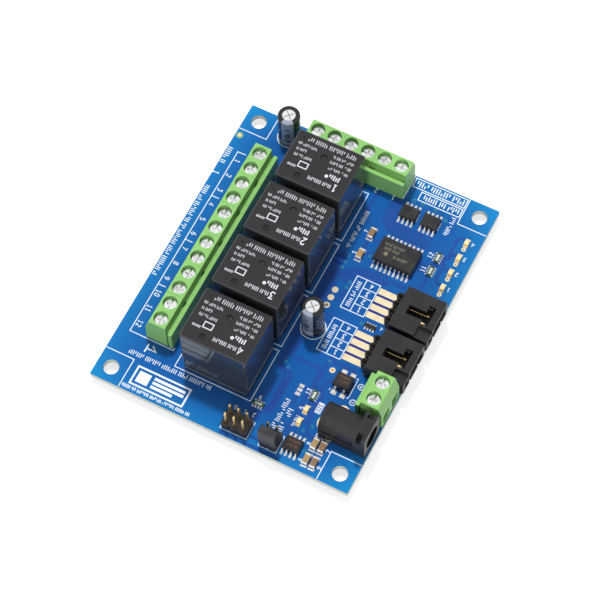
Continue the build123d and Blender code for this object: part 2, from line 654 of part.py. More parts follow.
def make_relay_works():
    """Yokes, cores, bobbins, windings and fixed contacts of all the relays."""
    below = -BOARD_T - LEAD_BELOW
    coil_low = BASE_HIGH + YOKE_T
    with BuildPart() as yokes:
        with BuildSketch(*[outward(r.origin.X, r.origin.Y, BOARD_T, 0) for r in RELAYS]):
            with BuildLine():
                Polyline(
                    (YOKE_BACK_X, BASE_HIGH), (YOKE_FRONT_X, BASE_HIGH), (YOKE_FRONT_X, coil_low),
                    (YOKE_BACK_X + YOKE_T, coil_low), (YOKE_BACK_X + YOKE_T, YOKE_TOP),
                    (YOKE_BACK_X, YOKE_TOP), close=True,
                )
            make_face()
        extrude(amount=YOKE_WIDTH / 2, both=True)
        with BuildSketch(*[level(r, BASE_HIGH) for r in RELAYS]):
            with Locations((COIL_X, 0)):
                Circle(CORE_D / 2)
        extrude(amount=YOKE_T, mode=Mode.SUBTRACT)
        with BuildSketch(*[level(r, below) for r in RELAYS]):
            with Locations(YOKE_PIN):
                Rectangle(TERMINAL_T, TERMINAL_W)
        extrude(amount=BASE_HIGH - below)
    save(yokes, "relay_yokes")
    with BuildPart() as cores:
        with BuildSketch(*[level(r, BASE_HIGH) for r in RELAYS]):
            with Locations((COIL_X, 0)):
                Circle(CORE_D / 2)
        extrude(amount=COIL_TOP + FLANGE_T - BASE_HIGH)
        with BuildSketch(*[level(r, COIL_TOP + FLANGE_T) for r in RELAYS]):
            with Locations((COIL_X, 0)):
                Circle(POLE_D / 2)
        extrude(amount=POLE_T)
    save(cores, "relay_cores")
    with BuildPart() as bobbins:
        with BuildSketch(*[level(r, z) for r in RELAYS for z in (coil_low, COIL_TOP)]):
            with Locations((COIL_X, 0)):
                Rectangle(FLANGE_SIZE, FLANGE_SIZE)
                Circle(CORE_D / 2, mode=Mode.SUBTRACT)
        extrude(amount=FLANGE_T)
        with BuildSketch(*[level(r, coil_low + FLANGE_T) for r in RELAYS]):
            with Locations((COIL_X, 0)):
                Circle(CORE_D / 2 + BOBBIN_WALL)
                Circle(CORE_D / 2, mode=Mode.SUBTRACT)
        extrude(amount=COIL_TOP - coil_low - FLANGE_T)
    save(bobbins, "relay_bobbins")
    with BuildPart() as windings:
        with BuildSketch(*[level(r, coil_low + FLANGE_T) for r in RELAYS]):
            with Locations((COIL_X, 0)):
                Circle(COIL_D / 2)
                Circle(CORE_D / 2 + BOBBIN_WALL, mode=Mode.SUBTRACT)
        extrude(amount=COIL_TOP - coil_low - FLANGE_T)
    save(windings, "relay_windings")
    open_top = BLADE_Z - CONTACT_T - OPEN_GAP
    closed_low = BLADE_Z + BLADE_T + CONTACT_T + CLOSED_GAP
    arm_back = CONTACT_X - CONTACT_D / 2
    arm_front = STRIP_X + TERMINAL_T / 2
    with BuildPart() as contacts:
        for side, arm_z, button_z in (
            (-1, open_top - CONTACT_T - TERMINAL_T, open_top - CONTACT_T),
            (1, closed_low + CONTACT_T, closed_low),
        ):
            with BuildSketch(*[level(r, below) for r in RELAYS]):
                with Locations((STRIP_X, side * STRIP_Y)):
                    Rectangle(TERMINAL_T, TERMINAL_W)
            extrude(amount=BASE_HIGH - below)
            with BuildSketch(*[level(r, BASE_HIGH) for r in RELAYS]):
                with Locations((STRIP_X, side * STRIP_Y)):
                    Rectangle(TERMINAL_T, STRIP_W)
            extrude(amount=arm_z + TERMINAL_T - BASE_HIGH)
            arm_out = STRIP_Y + STRIP_W / 2
            arm_in = -CONTACT_D / 2
            with BuildSketch(*[level(r, arm_z) for r in RELAYS]):
                with Locations(((arm_back + arm_front) / 2, side * (arm_out + arm_in) / 2)):
                    Rectangle(arm_front - arm_back, arm_out - arm_in)
            extrude(amount=TERMINAL_T)
            with BuildSketch(*[level(r, button_z) for r in RELAYS]):
                with Locations((CONTACT_X, 0)):
                    Circle(CONTACT_D / 2)
            extrude(amount=CONTACT_T)
    save(contacts, "relay_fixed_contacts")
    with BuildPart() as pins:
        with BuildSketch(*[level(r, below) for r in RELAYS]):
            with Locations(*COIL_PINS):
                Rectangle(COIL_PIN_W, COIL_PIN_W)
        extrude(amount=COIL_PIN_TOP - below)
    save(pins, "relay_coil_pins")


def can_side(radius, top, shoulder):
    """The side of a rolled can: the bead that grips its seal, then the rounded shoulder."""
    low = (radius, CAP_BEAD_Z - CAP_BEAD_HALF)
    high = (radius, CAP_BEAD_Z + CAP_BEAD_HALF)
    bend = shoulder * (1 - cos(radians(45)))
    Line((radius, 0), low)
    ThreePointArc(low, (radius - CAP_BEAD_IN, CAP_BEAD_Z), high)
    Line(high, (radius, top - shoulder))
    ThreePointArc((radius, top - shoulder), (radius - bend, top - bend), (radius - shoulder, top))


def make_capacitor(x, y, stand, number):
    outer_r = CAP_D / 2
    can_r = outer_r - CAP_SLEEVE_T
    can_top = CAP_HEIGHT - CAP_SLEEVE_T
    can_shoulder = CAP_SHOULDER - CAP_SLEEVE_T
    section = outward(x, y, SEAT_Z + stand, 0)
    centre = Axis((x, y, 0), (0, 0, 1))
    with BuildPart() as can:
        with BuildSketch(section):
            with BuildLine():
                can_side(can_r, can_top, can_shoulder)
                Polyline((can_r - can_shoulder, can_top), (0, can_top), (0, 0), (can_r, 0))
            make_face()
        revolve(axis=centre)
        with BuildSketch(Plane(origin=(x, y, SEAT_Z + stand + can_top), z_dir=(0, 0, 1))):
            Rectangle(CAP_SCORE_LENGTH, CAP_SCORE_W, rotation=45)
            Rectangle(CAP_SCORE_LENGTH, CAP_SCORE_W, rotation=-45)
        extrude(amount=-CAP_SCORE_DEEP, mode=Mode.SUBTRACT)
    save(can, f"capacitor_can_{number}")
    with BuildPart() as sleeve:
        with BuildSketch(section):
            with BuildLine():
                can_side(outer_r, CAP_HEIGHT, CAP_SHOULDER)
                can_side(can_r, can_top, can_shoulder)
                Polyline(
                    (outer_r - CAP_SHOULDER, CAP_HEIGHT), (CAP_LIP_R, CAP_HEIGHT),
                    (CAP_LIP_R, can_top), (can_r - can_shoulder, can_top),
                )
                Line((outer_r, 0), (can_r, 0))
            make_face()
        revolve(axis=centre)
    save(sleeve, f"capacitor_sleeve_{number}")


def make_capacitor_leads():
    with BuildPart() as leads:
        for site, stand in zip(CAP_SITES, CAP_STAND):
            with BuildSketch(Plane.XY.offset(-LEAD_BELOW)):
                with Locations(site):
                    with GridLocations(0, CAP_LEAD_PITCH, 1, 2):
                        Circle(CAP_LEAD_D / 2)
            extrude(amount=SEAT_Z + stand + LEAD_BELOW)
    save(leads, "capacitor_leads")


def jack_plane(x):
    """A plane across the jack's axis: own x along the board's +Y, own y up from the board."""
    return Plane(origin=(x, JACK_Y, SEAT_Z), x_dir=(0, 1, 0), z_dir=(1, 0, 0))


def make_jack_housing():
    rear_x = JACK_FRONT_X - JACK_LENGTH
    bore_end = JACK_FRONT_X - JACK_BORE_DEEP
    bore_low = JACK_AXIS_Z - JACK_BORE_D / 2
    notch_x = JACK_FRONT_X - JACK_NOTCH_BACK - JACK_NOTCH_X
    with BuildPart() as housing:
        with BuildSketch(jack_plane(rear_x)):
            with Locations((0, JACK_AXIS_Z)):
                Circle(JACK_BARREL_D / 2)
            with Locations((0, JACK_AXIS_Z / 2)):
                Rectangle(JACK_NECK_WIDTH, JACK_AXIS_Z)
            with Locations((0, JACK_BASE_H / 2)):
                Rectangle(JACK_BASE_WIDTH, JACK_BASE_H)
        extrude(amount=JACK_LENGTH)
        with BuildSketch(jack_plane(JACK_FRONT_X)) as flange:
            with Locations((0, JACK_HEIGHT / 2)):
                Rectangle(JACK_WIDTH, JACK_HEIGHT)
            fillet(flange.vertices().group_by(Axis.Z)[-1], JACK_CORNER_R)
        extrude(amount=-JACK_FLANGE)
        with BuildSketch(jack_plane(notch_x)):
            with Locations((0, JACK_HEIGHT - JACK_NOTCH_Z / 2)):
                with GridLocations(JACK_WIDTH - JACK_NOTCH_Y, 0, 2, 1):
                    Rectangle(JACK_NOTCH_Y, JACK_NOTCH_Z)
        extrude(amount=JACK_NOTCH_X, mode=Mode.SUBTRACT)
        with BuildSketch(jack_plane(JACK_FRONT_X)):
            with Locations((0, JACK_AXIS_Z)):
                Circle(JACK_BORE_D / 2)
        extrude(amount=-JACK_BORE_DEEP, mode=Mode.SUBTRACT)
        with BuildSketch(jack_plane(bore_end)):
            with Locations((0, JACK_AXIS_Z)):
                Circle(JACK_PIN_D / 2)
        extrude(amount=JACK_REAR[0] - JACK_LEG_T / 2 - bore_end, mode=Mode.SUBTRACT)
        with BuildSketch(Plane.XY.offset(SEAT_Z)):
            with Locations(JACK_REAR):
                Rectangle(JACK_LEG_T, JACK_LEG_W)
        extrude(amount=JACK_AXIS_Z, mode=Mode.SUBTRACT)
        with BuildSketch(Plane.XY.offset(SEAT_Z)):
            with Locations(JACK_MID):
                Rectangle(JACK_LEG_T, JACK_LEG_W)
        extrude(amount=bore_low, mode=Mode.SUBTRACT)
        with BuildSketch(Plane.XY.offset(SEAT_Z + bore_low)):
            jack_leaf()
        extrude(amount=-JACK_LEAF_T, mode=Mode.SUBTRACT)
        with BuildSketch(Plane.XY.offset(SEAT_Z)):
            with Locations((JACK_SIDE[0], JACK_Y - JACK_BASE_WIDTH / 2)):
                Rectangle(JACK_SIDE_NOTCH, JACK_BASE_WIDTH - 2 * JACK_SIDE_OUT + JACK_SIDE_T)
        extrude(amount=JACK_SIDE_Z, mode=Mode.SUBTRACT)
    save(housing, "jack_housing")


def jack_leaf():
    """The outline of the spring leaf that lies along the floor of the bore."""
    back = JACK_MID[0] - JACK_LEG_T / 2
    front = JACK_FRONT_X - JACK_LEAF_END
    with Locations(((back + front) / 2, JACK_Y)):
        Rectangle(front - back, JACK_LEG_W)


def make_jack_metal():
    """The centre pin on its rear leg, and the leaf and side contacts on theirs."""
    bore_low = JACK_AXIS_Z - JACK_BORE_D / 2
    back = JACK_REAR[0] - JACK_LEG_T / 2
    with BuildPart() as pin:
        with BuildSketch(jack_plane(back)):
            with Locations((0, JACK_AXIS_Z)):
                Circle(JACK_PIN_D / 2)
        extrude(amount=JACK_FRONT_X - JACK_PIN_RECESS - back)
        fillet(pin.faces().sort_by(Axis.X)[-1].edges(), JACK_PIN_TIP_R)
        with BuildSketch(Plane.XY.offset(-LEAD_BELOW)):
            with Locations(JACK_REAR):
                Rectangle(JACK_LEG_T, JACK_LEG_W)
        extrude(amount=LEAD_BELOW + SEAT_Z + JACK_AXIS_Z)
    save(pin, "jack_center_pin")
    with BuildPart() as contacts:
        with BuildSketch(Plane.XY.offset(-LEAD_BELOW)):
            with Locations(JACK_MID):
                Rectangle(JACK_LEG_T, JACK_LEG_W)
        extrude(amount=LEAD_BELOW + SEAT_Z + bore_low)
        with BuildSketch(Plane.XY.offset(SEAT_Z + bore_low)):
            jack_leaf()
        extrude(amount=-JACK_LEAF_T)
        with BuildSketch(Plane.XY.offset(-LEAD_BELOW)):
            with Locations(JACK_SIDE):
                Rectangle(JACK_SIDE_W, JACK_SIDE_T)
        extrude(amount=LEAD_BELOW + SEAT_Z + JACK_SIDE_Z)
    save(contacts, "jack_contacts")


def bus_pin_corners():
    """A right-angle pin seen from the side: own x is the board's +X, own y is up."""
    half = BUS_PIN / 2
    below = -SEAT_Z - LEAD_BELOW
    return [
        (BUS_PIN_X - half, below), (BUS_PIN_X + half, below), (BUS_PIN_X + half, BUS_PIN_Z - half),
        (BUS_PIN_TIP_X - half, BUS_PIN_Z - half), (BUS_PIN_TIP_X, BUS_PIN_Z - half / 2),
        (BUS_PIN_TIP_X, BUS_PIN_Z + half / 2), (BUS_PIN_TIP_X - half, BUS_PIN_Z + half),
        (BUS_PIN_X - half, BUS_PIN_Z + half),
    ]


def make_bus_connector(y, number):
    low = y - BUS_RIGHT
    high = y + BUS_LEFT
    notch_y = low + BUS_NOTCH_Y
    cavity_x = BUS_REAR_X + BUS_BACK
    top = SEAT_Z + BUS_HEIGHT
    pin_rows = [y + row for row in BUS_ROWS]

    def block(x0, y0, x1, y1):
        with Locations(((x0 + x1) / 2, (y0 + y1) / 2)):
            Rectangle(x1 - x0, y1 - y0)

    with BuildPart() as housing:
        with BuildSketch(Plane.XY.offset(SEAT_Z)):
            block(BUS_REAR_X, low, BUS_FRONT_X, high)
        extrude(amount=BUS_HEIGHT)
        with BuildSketch(Plane.XY.offset(SEAT_Z)):
            block(BUS_BOSS_X, low + BUS_LEDGE_IN, BUS_REAR_X, high - BUS_LEDGE_IN)
            with Locations(*[(BUS_LEDGE_X + BUS_BUMP_R, row) for row in pin_rows]):
                Circle(BUS_BUMP_R)
        extrude(amount=BUS_LEDGE_Z)
        with BuildSketch(Plane.XY.offset(top - BUS_NOTCH_DROP)):
            block(BUS_NOTCH_X, low, BUS_FRONT_X, notch_y)
        extrude(amount=BUS_NOTCH_DROP, mode=Mode.SUBTRACT)
        with BuildSketch(Plane.XY.offset(SEAT_Z + BUS_FLOOR)):
            block(cavity_x, low + BUS_WALL, BUS_FRONT_X, high - BUS_WALL)
        extrude(amount=BUS_HEIGHT - BUS_FLOOR - BUS_ROOF - BUS_NOTCH_DROP, mode=Mode.SUBTRACT)
        with BuildSketch(Plane.XY.offset(SEAT_Z + BUS_FLOOR)):
            block(cavity_x, notch_y + BUS_WALL, BUS_FRONT_X, high - BUS_WALL)
        extrude(amount=BUS_HEIGHT - BUS_FLOOR - BUS_ROOF, mode=Mode.SUBTRACT)
        with BuildSketch(Plane.XY.offset(top)):
            block(BUS_SLOT_X, y + BUS_SLOT_LOW, BUS_WINDOW_X, y + BUS_SLOT_HIGH)
            block(BUS_WINDOW_X, y + BUS_WINDOW_LOW, BUS_WINDOW_END, y + BUS_WINDOW_HIGH)
        extrude(amount=-BUS_ROOF, mode=Mode.SUBTRACT)
        with BuildSketch(Plane.XY.offset(SEAT_Z)):
            with Locations((BUS_FRONT_X - BUS_GAP_DEEP / 2, y)):
                with GridLocations(0, 2 * PITCH, 1, 2):
                    Rectangle(BUS_GAP_DEEP, BUS_GAP)
        extrude(amount=BUS_FLOOR, mode=Mode.SUBTRACT)
        with BuildSketch(*[outward(0, row, SEAT_Z, 0) for row in pin_rows]):
            with BuildLine():
                Polyline(*bus_pin_corners(), close=True)
            make_face()
        extrude(amount=BUS_PIN / 2, both=True, mode=Mode.SUBTRACT)
    save(housing, f"bus_connector_{number}")


def make_bus_pins():
    with BuildPart() as pins:
        with BuildSketch(*[outward(0, y, SEAT_Z, 0) for x, y in BUS_PINS]):
            with BuildLine():
                Polyline(*bus_pin_corners(), close=True)
            make_face()
        extrude(amount=BUS_PIN / 2, both=True)
    save(pins, "bus_pins")


def make_header(x, columns, label):
    """A double-row header base, notched between its ways, drilled for square pins."""
    with BuildPart() as header:
        with BuildSketch(Plane.XY.offset(BOARD_T)):
            with Locations((x, HEADER_Y)):
                Rectangle(columns * PITCH, 2 * PITCH)
                with GridLocations(PITCH, 2 * PITCH, columns + 1, 2):
                    RegularPolygon(HEADER_NOTCH, 4, mode=Mode.SUBTRACT)
                with GridLocations(PITCH, PITCH, columns, 2):
                    Rectangle(PIN_SQUARE, PIN_SQUARE, mode=Mode.SUBTRACT)
        extrude(amount=HEADER_BASE_H)
    save(header, label)


def make_header_pins():
    with BuildPart() as pins:
        with BuildSketch(Plane.XY.offset(-LEAD_BELOW)):
            with Locations(*HEADER_PINS):
                Rectangle(PIN_SQUARE, PIN_SQUARE)
        extrude(amount=BOARD_T + HEADER_BASE_H + PIN_ABOVE - PIN_TIP + LEAD_BELOW)
        with BuildSketch(Plane.XY.offset(BOARD_T + HEADER_BASE_H + PIN_ABOVE - PIN_TIP)):
            with Locations(*HEADER_PINS):
                Rectangle(PIN_SQUARE, PIN_SQUARE)
        extrude(amount=PIN_TIP, taper=PIN_TIP_TAPER)
    save(pins, "header_pins")


def clip_cells():
    """The shunt clip's outline: a square tube on each pin, joined by a strip."""
    cell = PIN_SQUARE + 2 * (CLIP_WALL + PIN_PLAY)
    with Locations((PULLUP_X, SHUNT_ROW_Y)):
        with GridLocations(PITCH, 0, PULLUP_COLUMNS, 1):
            Rectangle(cell, cell)
        with Locations((0, (cell - CLIP_WALL) / 2)):
            Rectangle(PITCH, CLIP_WALL)


def make_shunt():
    """The jumper shunt on the front row of the pull-up header, and its folded metal clip."""
    low = BOARD_T + HEADER_BASE_H
    groove_z = low + SHUNT_H - SHUNT_CAP_H
    with BuildPart() as shunt:
        for z, height, inset in (
            (low, SHUNT_H - SHUNT_CAP_H, 0),
            (groove_z, SHUNT_CAP_GAP, SHUNT_GROOVE),
            (groove_z + SHUNT_CAP_GAP, SHUNT_CAP_H - SHUNT_CAP_GAP, 0),
        ):
            with BuildSketch(Plane.XY.offset(z)):
                with Locations((PULLUP_X, SHUNT_ROW_Y)):
                    Rectangle(SHUNT_X - 2 * inset, SHUNT_Y - 2 * inset)
            extrude(amount=height)
        chamfer(shunt.faces().sort_by(Axis.Z)[-1].edges(), SHUNT_EDGE)
        with BuildSketch(Plane.XY.offset(low)):
            clip_cells()
        extrude(amount=PIN_ABOVE + PIN_PLAY, mode=Mode.SUBTRACT)
    save(shunt, "jumper_shunt")
    with BuildPart() as clip:
        with BuildSketch(Plane.XY.offset(low + CLIP_LOW)):
            clip_cells()
            with Locations((PULLUP_X, SHUNT_ROW_Y)):
                with GridLocations(PITCH, 0, PULLUP_COLUMNS, 1):
                    Rectangle(PIN_SQUARE + 2 * PIN_PLAY, PIN_SQUARE + 2 * PIN_PLAY, mode=Mode.SUBTRACT)
        extrude(amount=CLIP_HEIGHT)
    save(clip, "jumper_clip")


def gull_wing(body_half, span_half, rise):
    """The corners of a gull-wing lead: own x points out of the chip, own y is up."""
    return [
        (body_half, rise), (body_half + LEAD_SHOULDER, rise), (span_half - LEAD_FOOT, 0),
        (span_half, 0), (span_half, LEAD_T), (span_half - LEAD_FOOT + LEAD_T / 2, LEAD_T),
        (body_half + LEAD_SHOULDER + LEAD_T / 2, rise + LEAD_T), (body_half, rise + LEAD_T),
    ]


def lead_planes(x, y, ways, pitch):
    rows = [(x + (i - (ways - 1) / 2) * pitch, side) for i in range(ways) for side in (-1, 1)]
    return [outward(px, y, SEAT_Z, 90 * side) for px, side in rows]


def make_chip_body(x, y, size_x, size_y, size_z, label):
    """A moulded body, widest at the height where its leads come out."""
    middle = SEAT_Z + CHIP_LIFT + size_z / 2
    with BuildPart() as body:
        with BuildSketch(Plane.XY.offset(middle)):
            with Locations((x, y)):
                Rectangle(size_x, size_y)
        extrude(amount=size_z / 2, taper=CHIP_TAPER)
        with BuildSketch(Plane.XY.offset(middle)):
            with Locations((x, y)):
                Rectangle(size_x, size_y)
        extrude(amount=-size_z / 2, taper=CHIP_TAPER)
        with BuildSketch(Plane.XY.offset(middle + size_z / 2)):
            with Locations((x - size_x / 2 + CHIP_DOT_IN, y - size_y / 2 + CHIP_DOT_IN)):
                Circle(CHIP_DOT_D / 2)
        extrude(amount=-CHIP_DOT_DEEP, mode=Mode.SUBTRACT)
    save(body, label)


def make_chip_leads():
    small_rise = CHIP_LIFT + SMALL_CHIP_H / 2 - LEAD_T / 2
    large_rise = CHIP_LIFT + LARGE_CHIP_H / 2 - LEAD_T / 2
    rectifier_rise = CHIP_LIFT + RECTIFIER_H / 2 - LEAD_T / 2
    with BuildPart() as leads:
        small_planes = [p for chip in SMALL_CHIPS for p in lead_planes(*chip, SMALL_CHIP_WAYS, LEAD_PITCH)]
        with BuildSketch(*small_planes):
            with BuildLine():
                Polyline(*gull_wing(SMALL_CHIP_Y / 2, SMALL_CHIP_SPAN / 2, small_rise), close=True)
            make_face()
        extrude(amount=LEAD_W / 2, both=True)
        with BuildSketch(*lead_planes(*LARGE_CHIP, LARGE_CHIP_WAYS, LEAD_PITCH)):
            with BuildLine():
                Polyline(*gull_wing(LARGE_CHIP_Y / 2, LARGE_CHIP_SPAN / 2, large_rise), close=True)
            make_face()
        extrude(amount=LEAD_W / 2, both=True)
        with BuildSketch(*lead_planes(*RECTIFIER, RECTIFIER_WAYS, RECTIFIER_PITCH)):
            with BuildLine():
                Polyline(*gull_wing(RECTIFIER_Y / 2, RECTIFIER_SPAN / 2, rectifier_rise), close=True)
            make_face()
        extrude(amount=RECTIFIER_LEAD_W / 2, both=True)
    save(leads, "chip_leads")


def make_small_parts():
    with BuildPart() as ceramics:
        with BuildSketch(Plane.XY.offset(SEAT_Z)):
            with Locations(*CERAMICS):
                Rectangle(CERAMIC_WIDTH, CERAMIC_LENGTH - 2 * CERAMIC_END)
        extrude(amount=CERAMIC_H)
    save(ceramics, "ceramic_capacitors")
    array_planes = [turned(x, y, SEAT_Z, angle) for x, y, angle in ARRAYS]
    with BuildPart() as arrays:
        with BuildSketch(*array_planes):
            Rectangle(ARRAY_LENGTH, ARRAY_WIDTH - 2 * ARRAY_END)
        extrude(amount=ARRAY_H)
    save(arrays, "resistor_arrays")
    with BuildPart() as lights:
        with BuildSketch(Plane.XY.offset(SEAT_Z)):
            with Locations(*LIGHTS):
                Rectangle(LIGHT_WIDTH, LIGHT_LENGTH - 2 * LIGHT_END)
        extrude(amount=LIGHT_H)
        with BuildSketch(Plane.XY.offset(SEAT_Z + LIGHT_H)):
            with Locations(*LIGHTS):
                Rectangle(LIGHT_WIDTH, LIGHT_LENS)
        extrude(amount=LIGHT_LENS_H, taper=LENS_TAPER)
    save(lights, "indicator_lights")
    with BuildPart() as ends:
        with BuildSketch(Plane.XY.offset(SEAT_Z)):
            for place in CERAMICS:
                with Locations(place):
                    with GridLocations(0, CERAMIC_LENGTH - CERAMIC_END, 1, 2):
                        Rectangle(CERAMIC_WIDTH, CERAMIC_END)
        extrude(amount=CERAMIC_H)
        with BuildSketch(*array_planes):
            with GridLocations(ARRAY_PITCH, ARRAY_WIDTH - ARRAY_END, ARRAY_WAYS, 2):
                Rectangle(ARRAY_END_W, ARRAY_END)
        extrude(amount=ARRAY_H)
        with BuildSketch(Plane.XY.offset(SEAT_Z)):
            for place in LIGHTS:
                with Locations(place):
                    with GridLocations(0, LIGHT_LENGTH - LIGHT_END, 1, 2):
                        Rectangle(LIGHT_WIDTH, LIGHT_END)
        extrude(amount=LIGHT_H)
    save(ends, "component_ends")


def pad_rows(centre, pitch, ways, row_gap, size_x, size_y):
    """Two rows of pads along X, one on each side of the part."""
    with Locations(centre):
        with GridLocations(pitch, row_gap, ways, 2):
            Rectangle(size_x, size_y)


def make_solder():
    """Soldered pads under the small parts, and a fillet round each lead below the board."""
    with BuildPart() as solder:
        with BuildSketch(Plane.XY.offset(BOARD_T)):
            small_gap = SMALL_CHIP_SPAN - LEAD_FOOT
            large_gap = LARGE_CHIP_SPAN - LEAD_FOOT
            rectifier_gap = RECTIFIER_SPAN - LEAD_FOOT
            for place in SMALL_CHIPS:
                pad_rows(place, LEAD_PITCH, SMALL_CHIP_WAYS, small_gap, SOLDER_PAD_W, SOLDER_PAD_L)
            pad_rows(LARGE_CHIP, LEAD_PITCH, LARGE_CHIP_WAYS, large_gap, SOLDER_PAD_W, SOLDER_PAD_L)
            pad_rows(
                RECTIFIER, RECTIFIER_PITCH, RECTIFIER_WAYS, rectifier_gap, RECTIFIER_PAD, RECTIFIER_PAD
            )
            for place in CERAMICS:
                pad_rows(place, 0, 1, CERAMIC_LENGTH, CERAMIC_PAD_W, CERAMIC_PAD_L)
            for place in LIGHTS:
                pad_rows(place, 0, 1, LIGHT_LENGTH, LIGHT_WIDTH, 2 * LIGHT_END)
            with Locations(JUMPER_PADS):
                with GridLocations(0, JUMPER_PAD_PITCH, 1, JUMPER_PAD_COUNT):
                    Rectangle(JUMPER_PAD_W, JUMPER_PAD_L)
        extrude(amount=PAD_T)
        with BuildSketch(*[turned(x, y, BOARD_T, angle) for x, y, angle in ARRAYS]):
            with GridLocations(ARRAY_PITCH, ARRAY_WIDTH, ARRAY_WAYS, 2):
                Rectangle(ARRAY_END_W, ARRAY_PAD_L)
        extrude(amount=PAD_T)
        for planes, places, size, diameter in LEADS:
            with BuildSketch(*[level(plane, -BOARD_T) for plane in planes]):
                with Locations(*places):
                    Circle(diameter / 2 + FILLET_OUT)
            extrude(amount=-FILLET_H, taper=FILLET_TAPER)
        for planes, places, size, diameter in LEADS:
            with BuildSketch(*[level(plane, -BOARD_T) for plane in planes]):
                with Locations(*places):
                    if len(size) == 1:
                        Circle(size[0] / 2)
                    else:
                        Rectangle(*size)
            extrude(amount=-FILLET_H, mode=Mode.SUBTRACT)
    save(solder, "solder_joints")


if __name__ == "__main__":
    os.makedirs("parts", exist_ok=True)
    make_board()
    make_pads()
    for number, plane in enumerate(RELAY_BLOCKS, 1):
        make_block(plane, f"relay_terminal_{number}")
    for number, plane in enumerate(INPUT_BLOCKS, 1):
        make_block(plane, f"input_terminal_{number}")
    make_block(POWER_BLOCKS[0], "power_terminal")
    make_terminal_metal()
    for number, plane in enumerate(RELAYS, 1):
        make_relay_case(plane, number)
        make_armature(plane, number)
    make_relay_works()
    for number, ((x, y), stand) in enumerate(zip(CAP_SITES, CAP_STAND), 1):
        make_capacitor(x, y, stand, number)
    make_capacitor_leads()
    make_jack_housing()
    make_jack_metal()
    for number, y in enumerate(BUS_Y, 1):
        make_bus_connector(y, number)
    make_bus_pins()
    make_header(ADDRESS_X, ADDRESS_COLUMNS, "address_header")
    make_header(PULLUP_X, PULLUP_COLUMNS, "pullup_header")
    make_header_pins()
    make_shunt()
    make_chip_body(*LARGE_CHIP, LARGE_CHIP_X, LARGE_CHIP_Y, LARGE_CHIP_H, "expander_chip")
    for number, (x, y) in enumerate(SMALL_CHIPS, 1):
        make_chip_body(x, y, SMALL_CHIP_X, SMALL_CHIP_Y, SMALL_CHIP_H, f"small_chip_{number}")
    make_chip_body(*RECTIFIER, RECTIFIER_X, RECTIFIER_Y, RECTIFIER_H, "bridge_rectifier")
    make_chip_leads()
    make_small_parts()
    make_solder()
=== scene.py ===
import math
import random

import bmesh
import bpy
from bpy.props import FloatProperty, FloatVectorProperty, PointerProperty
from mathutils import Matrix, Vector


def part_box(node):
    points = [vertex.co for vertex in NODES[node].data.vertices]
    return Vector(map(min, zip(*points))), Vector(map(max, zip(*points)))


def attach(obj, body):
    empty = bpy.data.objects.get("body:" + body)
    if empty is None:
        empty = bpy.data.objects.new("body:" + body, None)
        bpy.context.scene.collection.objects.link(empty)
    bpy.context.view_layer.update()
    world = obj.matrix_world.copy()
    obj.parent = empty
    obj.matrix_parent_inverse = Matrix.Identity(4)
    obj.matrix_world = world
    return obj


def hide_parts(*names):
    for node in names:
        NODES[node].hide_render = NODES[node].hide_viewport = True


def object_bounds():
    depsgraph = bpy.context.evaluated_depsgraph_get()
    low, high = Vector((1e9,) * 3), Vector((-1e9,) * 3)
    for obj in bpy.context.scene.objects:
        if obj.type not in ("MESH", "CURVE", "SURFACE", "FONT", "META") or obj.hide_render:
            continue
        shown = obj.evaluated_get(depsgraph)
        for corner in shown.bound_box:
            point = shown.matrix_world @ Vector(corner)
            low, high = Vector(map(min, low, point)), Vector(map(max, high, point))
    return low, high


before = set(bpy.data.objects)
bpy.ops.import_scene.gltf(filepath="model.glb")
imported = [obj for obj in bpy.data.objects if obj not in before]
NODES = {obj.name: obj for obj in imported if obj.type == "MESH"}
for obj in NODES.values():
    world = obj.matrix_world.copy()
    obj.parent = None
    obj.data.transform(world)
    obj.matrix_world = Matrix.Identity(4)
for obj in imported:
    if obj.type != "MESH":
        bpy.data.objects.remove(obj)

bl_info = {
    "name": "Relay board dresser",
    "version": (1, 0, 0),
    "blender": (4, 5, 0),
    "location": "3D View > Sidebar > Relay board",
    "description": "Finishes, tracks, print and studio for a relay module board",
    "category": "Object",
}

CAD_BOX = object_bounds()
MM = 0.001


def corners(node):
    """The lowest and highest corner of a CAD node, in millimetres."""
    low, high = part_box(node)
    return low / MM, high / MM


def middle(node):
    low, high = corners(node)
    return (low + high) / 2


def numbered(stem, count):
    return [f"{stem}_{i}" for i in range(1, count + 1)]


BOARD_LOW, BOARD_HIGH = corners("circuit_board")
TOP = BOARD_HIGH.z
RELAY_COVERS = numbered("relay_cover", 4)
TERMINALS = numbered("relay_terminal", 6) + numbered("input_terminal", 3) + ["power_terminal"]
SLEEVES = numbered("capacitor_sleeve", 2)
BUS_HOUSINGS = numbered("bus_connector", 2)
SMALL_CHIPS = numbered("small_chip", 3)

# Pitches of the bus pins, the terminals' ways and the chips' leads, in millimetres
PITCH = 2.54
WAY_PITCH = 5.08
LEAD_PITCH = 1.27

# Thin layers start a little inside what they lie on, and each line lies a hair above the last one,
# so no two faces share a level where they cross
SUNK = 0.02
HAIR = 0.0001

